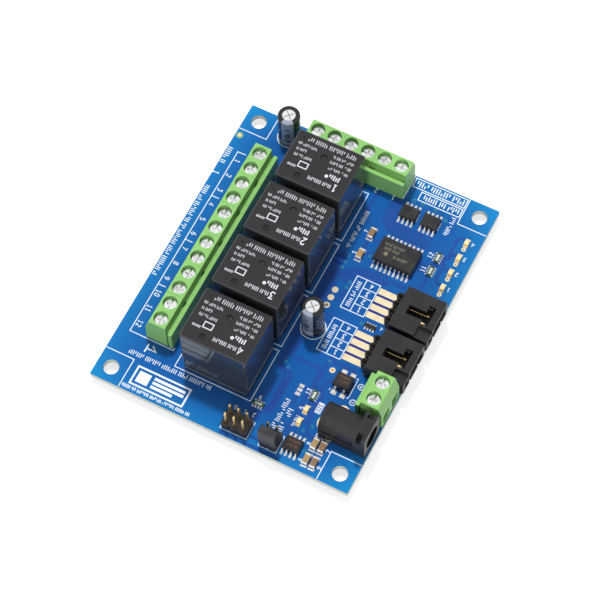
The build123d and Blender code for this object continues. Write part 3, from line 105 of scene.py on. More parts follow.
# Places and sizes of small parts that share a node, in millimetres
SEAT = TOP + 0.05
VIAS = [
    (15.7, 39.1), (18.3, 39.1), (22.2, 39.0), (26.0, 37.2), (12.5, 18.3), (7.4, 15.7),
    (7.4, 13.7), (7.4, 11.9), (11.1, 8.7), (11.1, 6.8), (19.5, -0.85), (17.0, -14.7),
    (6.7, -19.8), (8.0, -21.1), (21.4, -33.7), (19.9, -35.6), (22.8, -40.8),
]
TENTED_VIAS = [(13.7, -29.4), (7.6, -23.2), (8.7, -23.2)]
VIA_RADIUS = 0.25
FIDUCIAL = (-36.76, 36.06)
TEST_PAD_X = 8.68
TEST_PLUGS = (4.92, 2.38)
PROBE_PAD = (18.83, -16.7)
TAN_CERAMICS = [(9.96, 17.31), (24.41, -37.9), (24.41, -42.7)]
ROSE_CERAMICS = [(9.96, 24.44), (26.62, -37.9), (26.62, -42.7)]
CERAMIC_SIZE = (1.7, 3.2, 1.3)
CERAMIC_END = 0.5
ARRAYS = [(29.18, 25.8, 90), (29.13, 21.3, 90), (17.88, -25.5, 90), (5.93, -34.2, 0), (22.1, -0.95, 0)]
ARRAY_SIZE = (3.2, 1.6, 0.5)
ARRAY_PITCH = 0.8
PLAIN_ARRAY = (22.1, -0.95)
LIGHTS = [(34.2, 33.42), (34.2, 28.34), (34.2, 23.26), (34.2, 18.18), (17.88, -29.98), (17.78, -33.83)]
LIGHT_SIZE = (1.35, 2.1, 0.35)
LIGHT_LENS = (1.5, 0.45)

# The capacitors' sleeves: which way each stripe looks, in degrees, and millimetres for the rest
STRIPE_TURNS = (-72, -96)
SLEEVE_RADIUS = 3.15
BEAD_HEIGHT = 1.9
SHOULDER = 0.6
SLEEVE_LIP = 1.85
SKIN = 0.05

# The jack's bore, and the height of its axis above the foot of the housing
BORE_RADIUS = 3.12
BORE_HEIGHT = 5.2

# The mask: its shine, and the width of the strip of painted glare, a brighter blue, inside the board's
# outline
MASK_SHINE = 0.25
PAINTED_GLARE_WIDTH = 11.0

# Where the camera looks, on the board's underside
AIM = (1.277, -1.363, 0)


def srgb(red, green, blue):
    """A colour given in 8-bit screen values, as the shaders take it."""
    return tuple(
        c / 255 / 12.92 if c <= 10 else ((c / 255 + 0.055) / 1.055) ** 2.4 for c in (red, green, blue)
    )


def colour_property(name, description, red, green, blue):
    return FloatVectorProperty(
        name=name, description=description, default=srgb(red, green, blue), subtype="COLOR", size=3,
        min=0, max=1
    )


def angle_property(name, description, degrees):
    return FloatProperty(
        name=name, description=description, default=math.radians(degrees), subtype="ANGLE", unit="ROTATION"
    )


def power_property(name, description, watts):
    return FloatProperty(name=name, description=description, default=watts, min=0, unit="POWER")


def length_property(name, description, default):
    return FloatProperty(
        name=name, description=description, default=default * MM, min=0, unit="LENGTH", precision=5
    )


class BoardSizes(bpy.types.PropertyGroup):
    """Sizes of the printed and etched detail."""
    silk_thick: length_property("Print thickness", "How far the white print stands above the mask", 0.025)
    silk_line: length_property("Print line", "Width of the white outlines", 0.24)
    track_width: length_property("Track width", "Width of a signal track", 0.36)
    track_gap: length_property("Track gap", "Bare strip between a track and the copper round it", 0.2)
    plastic_edge: length_property("Plastic edge", "Rounding of moulded edges", 0.14)
    metal_edge: length_property("Metal edge", "Rounding of cut metal edges", 0.07)


class BoardColours(bpy.types.PropertyGroup):
    """Colours of the finishes."""
    mask: colour_property("Mask", "Solder mask over copper", 12, 82, 152)
    bare_mask: colour_property("Mask over laminate", "Solder mask where no copper lies under it", 38, 46, 124)
    laminate: colour_property("Laminate", "Cut edge of the board", 238, 243, 230)
    silk: colour_property("Print", "White print on the board", 214, 222, 230)
    green: colour_property("Terminal green", "Terminal housings", 124, 176, 98)
    relay: colour_property("Relay cover", "Relay covers and bases", 22, 20, 23)
    black: colour_property("Black plastic", "Connectors, jack and headers", 19, 18, 20)
    chip: colour_property("Chip body", "Moulded chip bodies", 22, 21, 24)
    gold: colour_property("Gold", "Gold plated pads and pins", 255, 240, 204)
    tin: colour_property("Tin", "Tinned leads and solder", 240, 237, 230)
    tan: colour_property("Tan ceramic", "Light ceramic bodies", 146, 122, 84)
    rose: colour_property("Rose ceramic", "Dark ceramic bodies", 122, 96, 74)


class StudioSettings(bpy.types.PropertyGroup):
    """Camera and lamps."""
    azimuth: angle_property("Azimuth", "Where the camera stands round the board", 29.235)
    elevation: angle_property("Elevation", "Height of the camera above the board's plane", 63.174)
    roll: angle_property("Roll", "Turn of the camera about its own axis", 2.279)
    distance: FloatProperty(
        name="Distance", description="From the camera to its aim", default=0.6415, unit="LENGTH",
    )
    lens: FloatProperty(
        name="Lens", description="Focal length on a 36 mm sensor", default=143.27, unit="CAMERA",
    )
    key_power: power_property("Key power", "Power of the main lamp", 9.0)
    fill_power: power_property("Fill power", "Power of the wide lamp in front", 4.0)
    edge_power: power_property("Edge power", "Power of the low lamp on the right", 1.6)
    world: FloatProperty(
        name="World", description="Strength of the even light all round", default=0.5, min=0,
    )


def sizes():
    return bpy.context.scene.relay_board_sizes


def colours():
    return bpy.context.scene.relay_board_colours


# Node trees: most helpers add one node and give the output that the next one takes

def feed(tree, node, inputs):
    """Fills inputs by name or number, each from another node's output or with a value."""
    for socket, source in inputs.items():
        into = node.inputs[socket]
        if isinstance(source, bpy.types.NodeSocket):
            tree.links.new(source, into)
        elif into.type == "RGBA":
            into.default_value = (*source, 1)
        else:
            into.default_value = source


def add_node(tree, kind, inputs=None, **options):
    """Adds a shader node, whose options are set before its inputs are filled."""
    node = tree.nodes.new(f"ShaderNode{kind}")
    for option, choice in options.items():
        setattr(node, option, choice)
    feed(tree, node, inputs or {})
    return node


def calc(tree, operation, first, second=0.0, clamp=False):
    return add_node(tree, "Math", {0: first, 1: second}, operation=operation, use_clamp=clamp).outputs[0]


def new_group(name, inputs, outputs):
    """An empty shader group, from its inputs with their defaults and the names of its outputs."""
    tree = bpy.data.node_groups.new(name, "ShaderNodeTree")
    for label, default in inputs.items():
        kind = "NodeSocketColor" if isinstance(default, tuple) else "NodeSocketFloat"
        tree.interface.new_socket(label, in_out="INPUT", socket_type=kind).default_value = default
    for label in outputs:
        kind = "NodeSocketColor" if label == "Colour" else "NodeSocketFloat"
        tree.interface.new_socket(label, in_out="OUTPUT", socket_type=kind)
    return tree, tree.nodes.new("NodeGroupInput").outputs, tree.nodes.new("NodeGroupOutput")


def noise(tree, scale, detail=3.0, rough=0.55, stretch=None):
    """Cloudy noise in the object's own space, drawn out where three scales are given."""
    place = object_place(tree)
    if stretch:
        place = add_node(tree, "Mapping", {"Vector": place, "Scale": stretch}).outputs["Vector"]
    settings = {"Vector": place, "Scale": scale, "Detail": detail, "Roughness": rough}
    return add_node(tree, "TexNoise", settings).outputs["Fac"]


def object_place(tree):
    return add_node(tree, "TexCoord").outputs["Object"]


def along(tree, vector, axis):
    return add_node(tree, "SeparateXYZ", {"Vector": vector}).outputs[axis]


def facing_up(tree):
    return along(tree, add_node(tree, "NewGeometry").outputs["Normal"], "Z")


def beyond(tree, axis, low, high):
    """A mask that rises from 0 to 1 between two places on an axis, in millimetres."""
    return ramp(tree, along(tree, object_place(tree), axis), low * MM, high * MM)


def ramp(tree, source, low, high, to_low=0.0, to_high=1.0):
    """Takes a value from one range to another, and stops at both ends."""
    return add_node(tree, "MapRange", {
        "Value": source, "From Min": low, "From Max": high, "To Min": to_low, "To Max": to_high,
    }).outputs[0]


def blend(tree, mask, first, second):
    """The first colour where the mask is 0, and the second where it is 1."""
    return add_node(tree, "Mix", {0: mask, 6: first, 7: second}, data_type="RGBA").outputs[2]


def build_moulding_group():
    """Moulded plastic: cloudy colour, fine spark-eroded grain and uneven gloss."""
    tree, given, out = new_group(
        "Moulded surface",
        {"Colour": (0.5, 0.5, 0.5, 1), "Cloud": 0.12, "Grain": 9000.0, "Roughness": 0.45, "Uneven": 0.1},
        ("Colour", "Roughness", "Height"),
    )
    cloud = ramp(tree, noise(tree, 160.0, 4.0), 0.3, 0.7, -1.0, 1.0)
    grain = noise(tree, given["Grain"], 2.0, 0.7)
    speck = ramp(tree, grain, 0.35, 0.65, -0.35, 0.35)
    change = calc(tree, "MULTIPLY", calc(tree, "ADD", cloud, speck), given["Cloud"])
    lift = calc(tree, "ADD", change, 1.0)
    tint = add_node(tree, "HueSaturation", {"Color": given["Colour"], "Value": lift})
    flow = ramp(tree, noise(tree, 420.0, 5.0, 0.65), 0.35, 0.65, -1.0, 1.0)
    swing = calc(tree, "MULTIPLY", flow, given["Uneven"])
    feed(tree, out, {
        "Colour": tint.outputs["Color"],
        "Roughness": calc(tree, "ADD", swing, given["Roughness"], clamp=True),
        "Height": grain,
    })
    return tree


def build_metal_group():
    """Cast or plated metal: fine ripples, stains that dull it, and short scratches."""
    tree, given, out = new_group(
        "Plated surface",
        {"Colour": (0.8, 0.8, 0.8, 1), "Stain": (0.4, 0.4, 0.4, 1), "Stained": 0.3, "Scale": 900.0,
         "Roughness": 0.28},
        ("Colour", "Roughness", "Height"),
    )
    patches = ramp(tree, noise(tree, 520.0, 5.0, 0.7), 0.45, 0.72)
    stain = calc(tree, "MULTIPLY", patches, given["Stained"])
    place = {"Vector": object_place(tree), "Scale": 2600.0}
    cells = add_node(tree, "TexVoronoi", place, feature="DISTANCE_TO_EDGE")
    scratch = ramp(tree, cells.outputs["Distance"], 0.0, 0.05, 0.0, 0.25)
    dull = calc(tree, "MULTIPLY", stain, 0.35)
    feed(tree, out, {
        "Colour": blend(tree, stain, given["Colour"], given["Stain"]),
        "Roughness": calc(tree, "ADD", dull, given["Roughness"], clamp=True),
        "Height": calc(tree, "ADD", noise(tree, given["Scale"], 4.0, 0.6), scratch),
    })
    return tree


def build_edge_group():
    """A mask of rubbed edges, from how far the rounded normal turns from the true one."""
    tree, given, out = new_group("Rubbed edges", {"Width": 0.0002}, ("Mask",))
    rounded = add_node(tree, "Bevel", {"Radius": given["Width"]}, samples=4).outputs["Normal"]
    true = add_node(tree, "NewGeometry").outputs["Normal"]
    dot = add_node(tree, "VectorMath", {0: rounded, 1: true}, operation="DOT_PRODUCT").outputs["Value"]
    feed(tree, out, {"Mask": ramp(tree, dot, 0.99, 0.8)})
    return tree


def build_dust_group():
    """A thin film of lint that settles on faces that look up."""
    tree, given, out = new_group("Settled dust", {"Amount": 0.1}, ("Mask",))
    cloud = ramp(tree, noise(tree, 240.0, 6.0, 0.7), 0.45, 0.75)
    film = calc(tree, "MULTIPLY", cloud, ramp(tree, facing_up(tree), 0.5, 1.0))
    feed(tree, out, {"Mask": calc(tree, "MULTIPLY", film, given["Amount"])})
    return tree


def build_weave_group():
    """Glass cloth inside laminate: two crossing sets of threads."""
    tree, given, out = new_group("Glass cloth", {"Threads": 2600.0}, ("Height",))
    place = {0: object_place(tree), "Scale": given["Threads"]}
    turns = add_node(tree, "VectorMath", place, operation="SCALE").outputs["Vector"]
    waves = [calc(tree, "SINE", along(tree, turns, axis)) for axis in "XY"]
    feed(tree, out, {"Height": calc(tree, "MULTIPLY", *waves)})
    return tree


GROUP_MAKERS = {
    "Moulded surface": build_moulding_group,
    "Plated surface": build_metal_group,
    "Rubbed edges": build_edge_group,
    "Settled dust": build_dust_group,
    "Glass cloth": build_weave_group,
}


def place_group(tree, name, inputs):
    """Puts a shared group, made when it is first asked for, in a material and gives its outputs."""
    shared = bpy.data.node_groups.get(name) or GROUP_MAKERS[name]()
    return add_node(tree, "Group", inputs, node_tree=shared).outputs


# Finishes

def tone(colour):
    """One of the user's colours by its name, or a colour in 8-bit screen values."""
    return getattr(colours(), colour) if isinstance(colour, str) else srgb(*colour)


def shade(colour, share):
    return tuple(c * share for c in colour)


def new_finish(name):
    made = bpy.data.materials.new(name)
    made.use_nodes = True
    tree = made.node_tree
    return made, tree, tree.nodes["Principled BSDF"]


def bump_into(tree, shader, height, strength, depth):
    """Roughens a finish by a height, whose full range is a depth in millimetres."""
    bump = add_node(tree, "Bump", {"Strength": strength, "Distance": depth * MM, "Height": height})
    feed(tree, shader, {"Normal": bump.outputs["Normal"]})


def repaint(made, mask, colour):
    """Gives a finish another colour where the mask is 0."""
    tree = made.node_tree
    shader = tree.nodes["Principled BSDF"]
    plain = shader.inputs["Base Color"].links[0].from_socket
    feed(tree, shader, {"Base Color": blend(tree, mask, colour, plain)})


def plastic_finish(name, colour, rough, cloud=0.1, grain=9000.0, bump=0.25, edge=0.35, dust=0.05):
    """Moulded plastic with rubbed pale edges and a little dust."""
    made, tree, shader = new_finish(name)
    plain = tone(colour)
    base = place_group(tree, "Moulded surface", {
        "Colour": plain, "Cloud": cloud, "Grain": grain, "Roughness": rough, "Uneven": 0.08,
    })
    edges = place_group(tree, "Rubbed edges", {"Width": 0.22 * MM})["Mask"]
    rubbed = tuple(min(1.0, c * 1.6 + 0.05) for c in plain)
    worn = blend(tree, calc(tree, "MULTIPLY", edges, edge), base["Colour"], rubbed)
    film = place_group(tree, "Settled dust", {"Amount": dust})["Mask"]
    dusty = blend(tree, film, worn, srgb(190, 188, 182))
    feed(tree, shader, {"Base Color": dusty, "Roughness": base["Roughness"]})
    bump_into(tree, shader, base["Height"], bump, 0.02)
    return made


def metal_finish(name, colour, stain, rough, stained=0.3, scale=900.0, bump=0.3):
    """Plated or cast metal, dulled in patches by a stain."""
    made, tree, shader = new_finish(name)
    base = place_group(tree, "Plated surface", {
        "Colour": tone(colour), "Stain": tone(stain), "Stained": stained, "Scale": scale, "Roughness": rough,
    })
    feed(tree, shader, {"Metallic": 1.0, "Base Color": base["Colour"], "Roughness": base["Roughness"]})
    bump_into(tree, shader, base["Height"], bump, 0.03)
    return made


def tint_finish(name, colour, rough=0.46):
    """A thin mask layer of another tone, with slow drifts of shade."""
    made, tree, shader = new_finish(name)
    drift = ramp(tree, noise(tree, 130.0, 4.0, 0.6), 0.35, 0.65)
    plain = tone(colour)
    feed(tree, shader, {
        "Base Color": blend(tree, drift, shade(plain, 0.88), plain),
        "Roughness": rough, "Specular IOR Level": MASK_SHINE,
    })
    return made


def print_finish(name, colour, wear=0.12):
    """Matt ink that thins out in small specks."""
    made, tree, shader = new_finish(name)
    speck = noise(tree, 5200.0, 3.0, 0.7)
    plain = tone(colour)
    thin = ramp(tree, speck, 0.5, 0.75)
    feed(tree, shader, {"Base Color": blend(tree, thin, plain, shade(plain, 1 - wear)), "Roughness": 0.6})
    bump_into(tree, shader, speck, 0.2, 0.01)
    return made


def mask_finish(name):
    """Glossy mask on the faces, and pale laminate with glass fibres on the cut edges."""
    made, tree, shader = new_finish(name)
    mask, laminate = colours().mask, colours().laminate
    cloud = ramp(tree, noise(tree, 45.0, 4.0, 0.6), 0.35, 0.7)
    # The flat faces get painted glare: a brighter blue towards the board's outline
    flat = rim_glow(tree, blend(tree, cloud, shade(mask, 0.84), mask))
    fibre = noise(tree, 1.0, 3.0, 0.6, stretch=(900.0, 900.0, 9000.0))
    cut = blend(tree, fibre, shade(laminate, 0.45), laminate)
    face = ramp(tree, calc(tree, "ABSOLUTE", facing_up(tree)), 0.4, 0.6)
    feed(tree, shader, {
        "Base Color": blend(tree, face, cut, flat),
        "Roughness": ramp(tree, face, 0.0, 1.0, 0.7, 0.46), "Specular IOR Level": MASK_SHINE,
    })
    bump_into(tree, shader, place_group(tree, "Glass cloth", {"Threads": 9000.0})["Height"], 0.05, 0.01)
    return made


def rim_glow(tree, inner):
    """Painted glare: mixes a brighter blue into the mask towards the outline of the board."""
    near = []
    for axis, half in (("X", BOARD_HIGH.x), ("Y", BOARD_HIGH.y)):
        side = calc(tree, "ABSOLUTE", along(tree, object_place(tree), axis))
        near.append(calc(tree, "POWER", ramp(tree, side, (half - PAINTED_GLARE_WIDTH) * MM, half * MM), 1.6))
    share = calc(tree, "MULTIPLY", calc(tree, "ADD", *near), 0.42, clamp=True)
    return blend(tree, share, inner, srgb(20, 128, 184))


def green_finish(name, *settings):
    """Terminal plastic, which lets a little light in."""
    made = plastic_finish(name, *settings)
    feed(made.node_tree, made.node_tree.nodes["Principled BSDF"], {
        "Subsurface Weight": 0.12, "Subsurface Scale": 0.6 * MM, "Subsurface Radius": (0.6, 1.0, 0.4),
    })
    return made


def relay_finish(name):
    """Satin grained top and polished near-black sides, told apart by the way a face looks; the sides get a
    painted reflection, a lighter grey than the top.
    """
    made, tree, shader = new_finish(name)
    base = place_group(tree, "Moulded surface", {
        "Colour": colours().relay, "Cloud": 0.06, "Grain": 5200.0, "Roughness": 0.5, "Uneven": 0.06,
    })
    up = ramp(tree, facing_up(tree), 0.3, 0.8)
    top = corners(RELAY_COVERS[0])[1].z
    # Dimples moulded into the top get painted shade: near black below the top
    level = blend(tree, beyond(tree, "Z", top - 0.3, top - 0.2), srgb(9, 9, 10), base["Colour"])
    # Painted reflection: the sides are a lighter grey than the top, for the bright surroundings they mirror
    plain = blend(tree, up, srgb(50, 53, 56), level)
    edges = calc(tree, "MULTIPLY", place_group(tree, "Rubbed edges", {"Width": 0.25 * MM})["Mask"], up)
    gloss = add_node(tree, "Mix", {"Factor": up, "A": 0.1, "B": base["Roughness"]})
    feed(tree, shader, {
        "Base Color": blend(tree, calc(tree, "MULTIPLY", edges, 0.35), plain, srgb(96, 90, 90)),
        "Roughness": gloss.outputs["Result"],
    })
    bump_into(tree, shader, calc(tree, "MULTIPLY", base["Height"], up), 0.35, 0.02)
    return made


def winding_finish(name):
    """Enamelled copper wire, wound in fine even turns."""
    made, tree, shader = new_finish(name)
    settings = {"Vector": object_place(tree), "Scale": 2600.0, "Distortion": 0.4}
    turns = add_node(tree, "TexWave", settings, bands_direction="Z").outputs["Fac"]
    feed(tree, shader, {
        "Base Color": blend(tree, turns, srgb(120, 56, 26), srgb(206, 122, 66)),
        "Metallic": 1.0, "Roughness": 0.3, "Coat Weight": 0.6,
    })
    bump_into(tree, shader, turns, 0.6, 0.06)
    return made


def sleeve_finish(name):
    """Shrunk film: glossy near-black with faint draw lines up the can."""
    made, tree, shader = new_finish(name)
    lines = noise(tree, 1.0, 3.0, 0.6, stretch=(1500.0, 1500.0, 90.0))
    feed(tree, shader, {
        "Base Color": blend(tree, lines, srgb(9, 9, 11), srgb(16, 17, 20)),
        "Roughness": ramp(tree, lines, 0.3, 0.7, 0.14, 0.24),
    })
    bump_into(tree, shader, lines, 0.03, 0.02)
    return made


def scored_finish(name, can):
    """Bright can top whose score lines get painted shade, a duller grey: told by their depth below the top.
    """
    made = metal_finish(name, (240, 241, 243), (190, 192, 194), 0.28, 0.25)
    top = corners(can)[1].z
    # Painted shade in the score lines: duller grey below the top
    repaint(made, beyond(made.node_tree, "Z", top - 0.13, top - 0.05), srgb(168, 167, 165))
    return made


def bus_pin_finish(name):
    """Gold plate in the cavity, with painted shade: dark brown where the pins turn down behind the housing.
    """
    made = metal_finish(name, (255, 226, 158), (220, 170, 100), 0.16, 0.05, 1200.0, 0.0)
    rear = corners(BUS_HOUSINGS[0])[0].x
    # Painted shade: the pins are dark brown behind the housing
    repaint(made, beyond(made.node_tree, "X", rear + 2.6, rear + 3.2), srgb(40, 33, 26))
    return made


def lens_finish(name):
    """Pale cast resin over a warm dye."""
    made, tree, shader = new_finish(name)
    feed(tree, shader, {
        "Base Color": blend(tree, noise(tree, 1400.0), srgb(214, 186, 122), srgb(238, 222, 178)),
        "Roughness": 0.2, "Subsurface Weight": 0.3, "Subsurface Scale": 0.4 * MM, "Coat Weight": 0.5,
    })
    return made


def paper_finish(name):
    """White paper that stays near white to the camera and keeps a soft shadow."""
    made, tree, shader = new_finish(name)
    rays = add_node(tree, "LightPath").outputs
    shown = calc(tree, "MAXIMUM", rays["Is Camera Ray"], rays["Is Glossy Ray"])
    feed(tree, shader, {
        "Base Color": blend(tree, noise(tree, 700.0, 4.0), srgb(168, 168, 168), srgb(176, 176, 176)),
        "Roughness": 0.9, "Emission Color": (1, 1, 1),
        "Emission Strength": ramp(tree, shown, 0.0, 1.0, 0.0, 0.68),
    })
    return made


RECIPES = {
    # Colour, roughness, clouding, grain, bump, wear at the edges and dust
    "terminal_green": (green_finish, "green", 0.42, 0.05, 5200.0, 0.25, 0.3),
    "black_plastic": (plastic_finish, "black", 0.5, 0.05, 6500.0, 0.25, 0.4, 0.02),
    "jack_plastic": (plastic_finish, (22, 21, 24), 0.5, 0.05, 6000.0, 0.25, 0.4, 0.02),
    "header_plastic": (plastic_finish, (20, 19, 21), 0.4, 0.12, 8000.0, 0.25, 0.4),
    "shunt_plastic": (plastic_finish, (28, 27, 34), 0.5, 0.1, 9000.0, 0.25, 0.5),
    "chip_body": (plastic_finish, "chip", 0.55, 0.14, 5000.0, 0.5, 0.3),
    "bobbin_plastic": (plastic_finish, (226, 222, 205), 0.5, 0.05),
    "sleeve_stripe": (plastic_finish, (132, 140, 156), 0.2, 0.08, 9000.0, 0.1, 0.0),
    "tan_ceramics": (plastic_finish, "tan", 0.4, 0.08, 9000.0, 0.15, 0.3),
    "rose_ceramics": (plastic_finish, "rose", 0.4, 0.08, 9000.0, 0.15, 0.3),
    "array_body": (plastic_finish, (22, 58, 46), 0.3),
    "array_body_dark": (plastic_finish, (20, 20, 22), 0.4),
    # Plate, stain, roughness, share stained, scale of the ripples and bump
    "tin_plate": (metal_finish, "tin", (150, 148, 142), 0.24, 0.35, 1400.0),
    "solder": (metal_finish, (222, 222, 220), (168, 164, 156), 0.2, 0.4, 700.0, 0.5),
    "screw_plate": (metal_finish, (244, 246, 246), (112, 112, 104), 0.14, 0.5, 1100.0, 0.6),
    "gold_plate": (metal_finish, "gold", (214, 160, 84), 0.3, 0.3, 800.0),
    "pin_gold": (metal_finish, (246, 210, 136), (150, 110, 60), 0.26, 0.4, 1200.0),
    "light_gilt": (metal_finish, (250, 220, 160), (200, 150, 90), 0.3),
    "nickel_plate": (metal_finish, (200, 200, 196), (120, 118, 112), 0.25),
    "relay_iron": (metal_finish, (168, 168, 166), (92, 88, 82), 0.4, 0.5),
    "contact_brass": (metal_finish, (206, 172, 104), (128, 100, 60), 0.32, 0.4),
    "scored_aluminium_1": (scored_finish, "capacitor_can_1"),
    "scored_aluminium_2": (scored_finish, "capacitor_can_2"),
    "bus_pin_gold": (bus_pin_finish,),
    # Ink and how far it thins
    "white_print": (print_finish, "silk"),
    "bare_laminate": (print_finish, (128, 158, 116)),
    "probe_mark": (print_finish, (168, 104, 52), 0.3),
    "relay_print": (print_finish, (196, 198, 204), 0.2),
    "gate_scar": (print_finish, (58, 51, 44), 0.25),
    "stripe_ink": (print_finish, (24, 26, 30), 0.1),
    "rating_ink": (print_finish, (128, 136, 148), 0.1),
    "chip_print": (print_finish, (112, 108, 92), 0.3),
    "chip_print_warm": (print_finish, (104, 72, 50), 0.3),
    "array_print": (print_finish, (196, 204, 194), 0.25),
    # Mask of another tone and its roughness
    "track_mask": (tint_finish, "mask"),
    "bare_mask": (tint_finish, "bare_mask"),
    # Dark navy: bare mask with painted shade
    "bare_window": (tint_finish, (10, 50, 122)),
    "via_ring": (tint_finish, (60, 150, 164), 0.35),
    # Near black: painted shade in the vias
    "via_well": (tint_finish, (8, 22, 40), 0.5),
    # Finishes of one kind of part
    "board_mask": (mask_finish,),
    "relay_black": (relay_finish,),
    "copper_wire": (winding_finish,),
    "sleeve_black": (sleeve_finish,),
    "light_lens": (lens_finish,),
    "studio_paper": (paper_finish,),
}


FINISHES = {}


def finish(name):
    """One material per name, made when it is first needed."""
    if name not in FINISHES:
        maker, *settings = RECIPES[name]
        FINISHES[name] = maker(name, *settings)
    return FINISHES[name]


# Meshes, drawn in millimetres

def turned(points, x, y, degrees):
    """Points about a centre, turned and moved to a place."""
    a = math.radians(degrees)
    return [(x + u * math.cos(a) - v * math.sin(a), y + u * math.sin(a) + v * math.cos(a)) for u, v in points]


def round_points(x, y, radius, sides):
    turns = [2 * math.pi * i / sides for i in range(sides)]
    return [(x + radius * math.cos(a), y + radius * math.sin(a)) for a in turns]


class Pen:
    """Closed flat shapes on one level, kept in one mesh."""

    def __init__(self, low, high, step=0.0):
        self.mesh = bmesh.new()
        self.low, self.high = low, high
        self.step = step
        self.place = Matrix.Identity(4)

    def prism(self, points):
        """A closed slab over these corners, whichever way round they come."""
        area = sum(x0 * y1 - x1 * y0 for (x0, y0), (x1, y1) in zip(points, points[1:] + points[:1]))
        if area < 0:
            points = points[::-1]
        below, above = (
            [self.mesh.verts.new(self.place @ Vector((x, y, z))) for x, y in points]
            for z in (self.low, self.high)
        )
        self.mesh.faces.new(above)
        self.mesh.faces.new(below[::-1])
        for i in range(len(points)):
            j = (i + 1) % len(points)
            self.mesh.faces.new((below[i], below[j], above[j], above[i]))

    def band(self, sides, shut):
        """A closed bar whose cross sections stand on these pairs of points."""
        loops = [
            [self.mesh.verts.new(self.place @ Vector((x, y, z))) for (x, y), z in (
                (a, self.low), (b, self.low), (b, self.high), (a, self.high))]
            for a, b in sides
        ]
        for near, far in zip(loops, loops[1:] + (loops[:1] if shut else [])):
            for k in range(4):
                self.mesh.faces.new((near[k], near[(k + 1) % 4], far[(k + 1) % 4], far[k]))
        if not shut:
            self.mesh.faces.new(loops[0])
            self.mesh.faces.new(loops[-1])

    def box(self, x0, y0, x1, y1):
        self.prism([(x0, y0), (x1, y0), (x1, y1), (x0, y1)])

    def disc(self, x, y, radius, sides=24):
        self.prism(round_points(x, y, radius, sides))

    def ring(self, x, y, outer, inner, sides):
        self.band(list(zip(round_points(x, y, outer, sides), round_points(x, y, inner, sides))), True)

    def path(self, points, width, shut=False):
        """A band of even width along straight runs, mitred at its corners."""
        spots = [Vector(p) for p in points]
        count = len(spots)
        sides = []
        for i, here in enumerate(spots):
            before = spots[i - 1] if i > 0 or shut else None
            after = spots[(i + 1) % count] if i < count - 1 or shut else None
            into = (here - before).normalized() if before is not None else (after - here).normalized()
            away = (after - here).normalized() if after is not None else into
            mean = (into + away).normalized()
            across = Vector((-mean.y, mean.x))
            reach = width / 2 / max(0.5, across.dot(Vector((-into.y, into.x))))
            sides.append((here + across * reach, here - across * reach))
        self.band(sides, shut)
        self.high += self.step

    def frame(self, x0, y0, x1, y1, width):
        self.path([(x0, y0), (x1, y0), (x1, y1), (x0, y1)], width, shut=True)

    def figures(self, text, x, y, height, width, turn=0.0):
        """Plain numerals in single strokes, centred on a place."""
        for i, figure in enumerate(text):
            offset = (i - (len(text) - 1) / 2) * height * 0.82
            for stroke in NUMERALS[figure]:
                points = [((u - 0.3) * height + offset, (v - 0.5) * height) for u, v in stroke]
                self.path(turned(points, x, y, turn), width)

    def tally(self, x, y, length, height, turn, seed, fill=0.4):
        """A line of print shown only as upright marks in groups, the way a layout shows text."""
        chance = random.Random(seed)
        at = -length / 2
        step = height * 0.44
        end = length / 2 - step * 0.5
        while at < end:
            for _ in range(chance.choice((3, 5, 6, 8))):
                if at > end:
                    break
                tall = height * chance.choice((1.0, 1.0, 0.8, 0.55))
                far = at + step * fill
                low = -height / 2 if chance.random() < 0.6 else height / 2 - tall
                self.prism(turned([(at, low), (far, low), (far, low + tall), (at, low + tall)], x, y, turn))
                at += step
            at += step * 0.7

    def piece(self, name, material, slot="board_mask"):
        bmesh.ops.recalc_face_normals(self.mesh, faces=self.mesh.faces)
        return finished_piece(name, self.mesh, material)


def board_pen(height, step=0.0):
    """A pen for thin layers on the board, with their foot sunk into it."""
    return Pen(TOP - SUNK, TOP + height, step)


def top_pen(node):
    """A pen for print on the top of a part, and the part's middle."""
    centre, high = middle(node), corners(node)[1].z
    return Pen(high - 0.01, high + 0.012), centre.x, centre.y


NUMERALS = {
    "0": [[(0.05, 0.2), (0.05, 0.8), (0.2, 1), (0.4, 1), (0.55, 0.8), (0.55, 0.2), (0.4, 0), (0.2, 0),
           (0.05, 0.2)]],
    "1": [[(0.1, 0.78), (0.3, 1), (0.3, 0)], [(0.1, 0), (0.5, 0)]],
    "2": [[(0.05, 0.82), (0.2, 1), (0.42, 1), (0.55, 0.82), (0.55, 0.62), (0.05, 0), (0.58, 0)]],
    "3": [[(0.05, 1), (0.55, 1), (0.3, 0.6), (0.5, 0.5), (0.55, 0.2), (0.4, 0), (0.15, 0), (0.03, 0.15)]],
    "4": [[(0.42, 0), (0.42, 1), (0.03, 0.3), (0.6, 0.3)]],
    "5": [[(0.53, 1), (0.1, 1), (0.07, 0.58), (0.4, 0.58), (0.55, 0.42), (0.55, 0.18), (0.4, 0),
           (0.05, 0.03)]],
    "6": [[(0.5, 1), (0.25, 0.9), (0.05, 0.5), (0.05, 0.18), (0.2, 0), (0.42, 0), (0.55, 0.18), (0.55, 0.38),
           (0.42, 0.55), (0.08, 0.5)]],
    "7": [[(0.03, 1), (0.57, 1), (0.22, 0)]],
    "8": [[(0.2, 0.55), (0.08, 0.68), (0.08, 0.88), (0.2, 1), (0.4, 1), (0.52, 0.88), (0.52, 0.68),
           (0.4, 0.55), (0.2, 0.55), (0.05, 0.38), (0.05, 0.15), (0.2, 0), (0.4, 0), (0.55, 0.15),
           (0.55, 0.38), (0.4, 0.55)]],
    "9": [[(0.1, 0), (0.35, 0.1), (0.55, 0.5), (0.55, 0.82), (0.4, 1), (0.18, 1), (0.05, 0.82), (0.05, 0.62),
           (0.18, 0.45), (0.52, 0.5)]],
}


